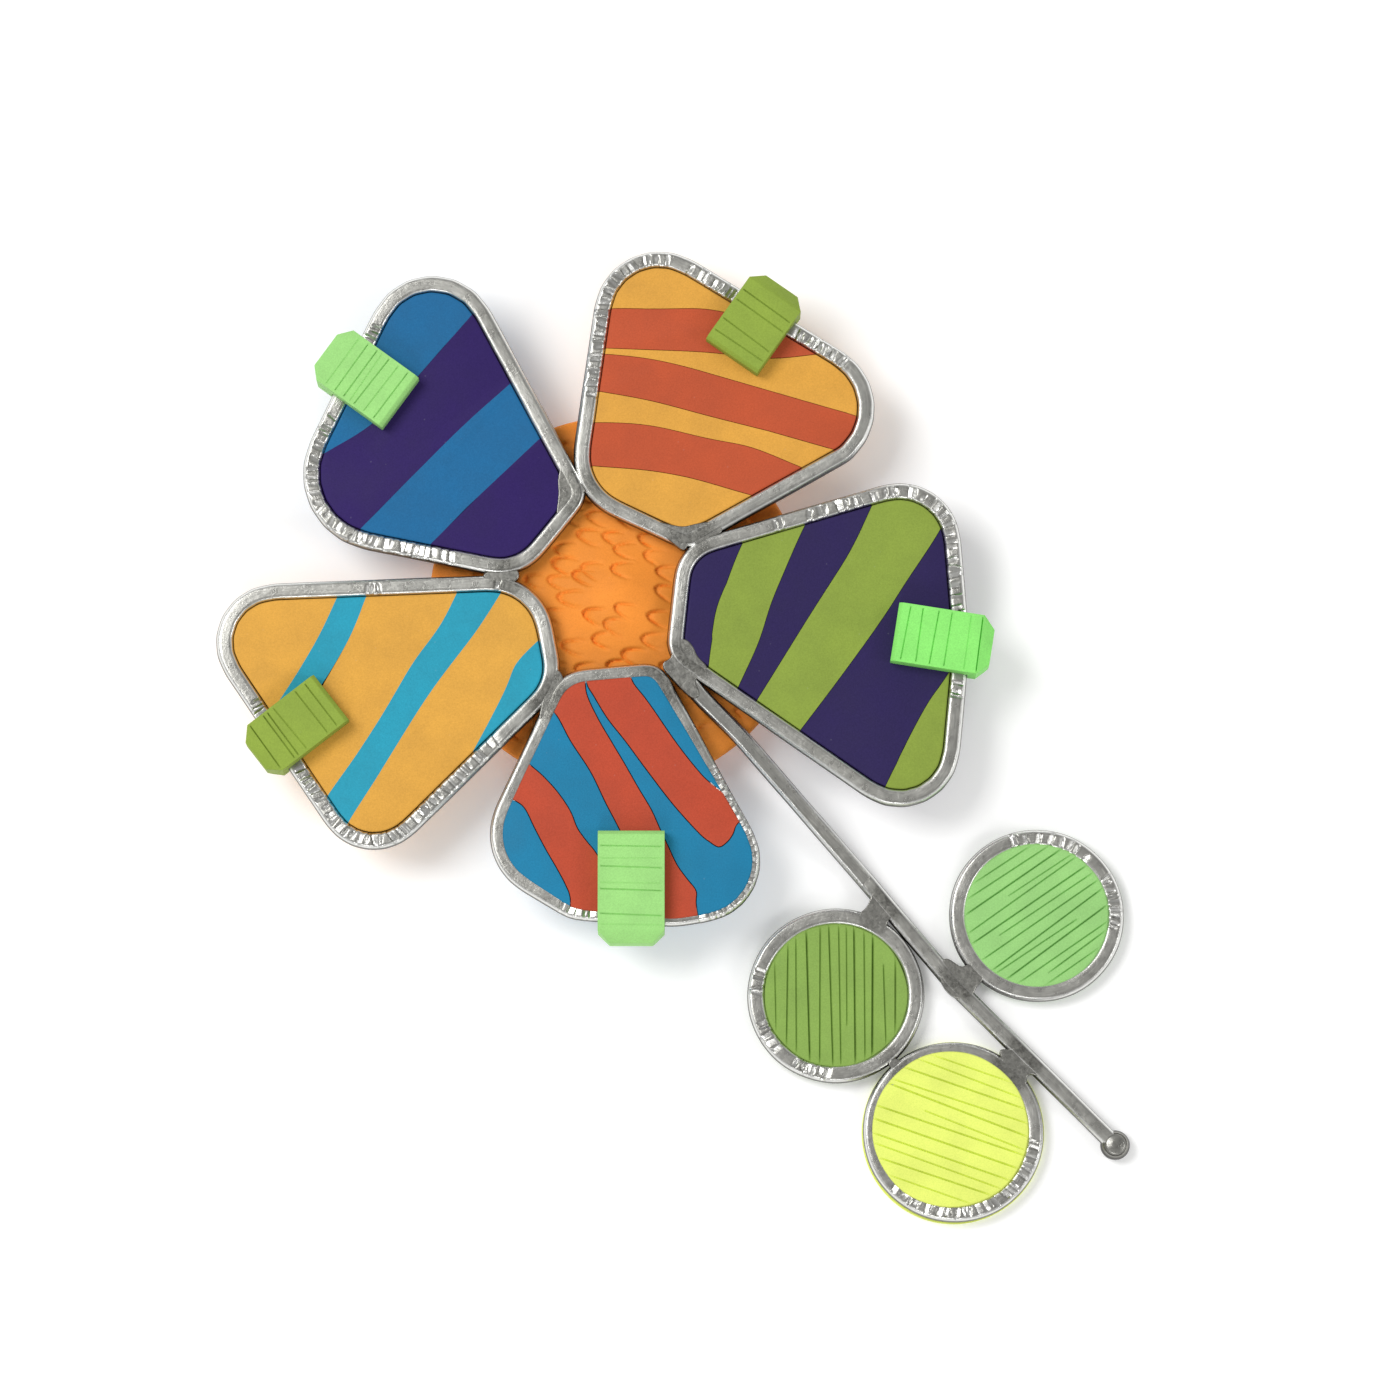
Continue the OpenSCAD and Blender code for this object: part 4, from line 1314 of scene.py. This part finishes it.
class BROOCH_OT_stage(bpy.types.Operator):
    """Make the paper floor, the soft lights and the camera"""
    bl_idname = "brooch.stage"
    bl_label = "Stage"

    def execute(self, context):
        scene = context.scene
        stage = scene.brooch_stage
        bm = bmesh.new()
        bmesh.ops.create_grid(bm, x_segments=4, y_segments=4, size=1.5)
        # a hair below the backs, which would otherwise share the floor's plane
        bmesh.ops.translate(bm, vec=(0, 0, -0.05 * MM), verts=bm.verts)
        mesh = bpy.data.meshes.new("floor")
        bm.to_mesh(mesh)
        bm.free()
        mesh.materials.append(matt_paper(tuple(stage.floor), stage.glow))
        floor = bpy.data.objects.new("floor", mesh)
        scene.collection.objects.link(floor)
        scene.view_settings.view_transform = "Standard"
        room = bpy.data.worlds.new("white_room")
        room.use_nodes = True
        light = room.node_tree.nodes["Background"]
        light.inputs["Color"].default_value = (1, 1, 1, 1)
        light.inputs["Strength"].default_value = stage.room
        scene.world = room
        middle = Vector((0, 0, 5 * MM))
        lights = [  # name, azimuth, elevation, distance, width, power
            ("key", 245, 58, 0.9, 0.42, stage.key),
            ("front", 350, 38, 0.9, 0.25, stage.fill),
            ("right", 75, 40, 0.9, 0.25, stage.fill),
        ]
        for name, azimuth, elevation, distance, width, power in lights:
            lamp = bpy.data.lights.new(name, "AREA")
            lamp.shape = "SQUARE"
            lamp.size = width
            lamp.energy = power
            aimed(name, lamp, middle, azimuth, elevation, distance)
        # The camera stands well back, on the side of the leaves, and looks down about 8 degrees
        # off the upright. 141 mm at the petals' height fills its view.
        lens = bpy.data.cameras.new("camera")
        lens.sensor_width = 36
        lens.lens = 204.4
        lens.clip_start, lens.clip_end = 0.01, 10
        target = Vector((2.75 * MM, 3.12 * MM, 8 * MM))
        scene.camera = aimed("camera", lens, target, azimuth=0, elevation=82.3, distance=0.8)
        return {"FINISHED"}


class BROOCH_PT_panel(bpy.types.Panel):
    """Lists the brooch's sizes, colours and pieces"""
    bl_label = "Flower Brooch"
    bl_idname = "BROOCH_PT_panel"
    bl_space_type = "VIEW_3D"
    bl_region_type = "UI"
    bl_category = "Brooch"

    def draw(self, context):
        scene = context.scene
        for group in (scene.brooch_wire, scene.brooch_clay, scene.brooch_stage):
            part = self.layout.box()
            for name in group.__annotations__:
                part.prop(group, name)
        for operator in OPERATORS:
            self.layout.operator(operator.bl_idname)


OPERATORS = (
    BROOCH_OT_petal_wires, BROOCH_OT_leaf_wires, BROOCH_OT_stem, BROOCH_OT_welds,
    BROOCH_OT_petal_clay, BROOCH_OT_tabs, BROOCH_OT_leaf_clay, BROOCH_OT_centre,
    BROOCH_OT_bar_pin, BROOCH_OT_stage)
CLASSES = (BroochWire, BroochClay, BroochStage, *OPERATORS, BROOCH_PT_panel)


def register():
    for each in CLASSES:
        bpy.utils.register_class(each)
    bpy.types.Scene.brooch_wire = PointerProperty(type=BroochWire)
    bpy.types.Scene.brooch_clay = PointerProperty(type=BroochClay)
    bpy.types.Scene.brooch_stage = PointerProperty(type=BroochStage)


def unregister():
    del bpy.types.Scene.brooch_wire, bpy.types.Scene.brooch_clay, bpy.types.Scene.brooch_stage
    for each in reversed(CLASSES):
        bpy.utils.unregister_class(each)


def main():
    """Builds the brooch and its stage."""
    register()
    for operator in OPERATORS:
        family, name = operator.bl_idname.split(".")
        getattr(getattr(bpy.ops, family), name)()


if __name__ == "__main__":
    main()
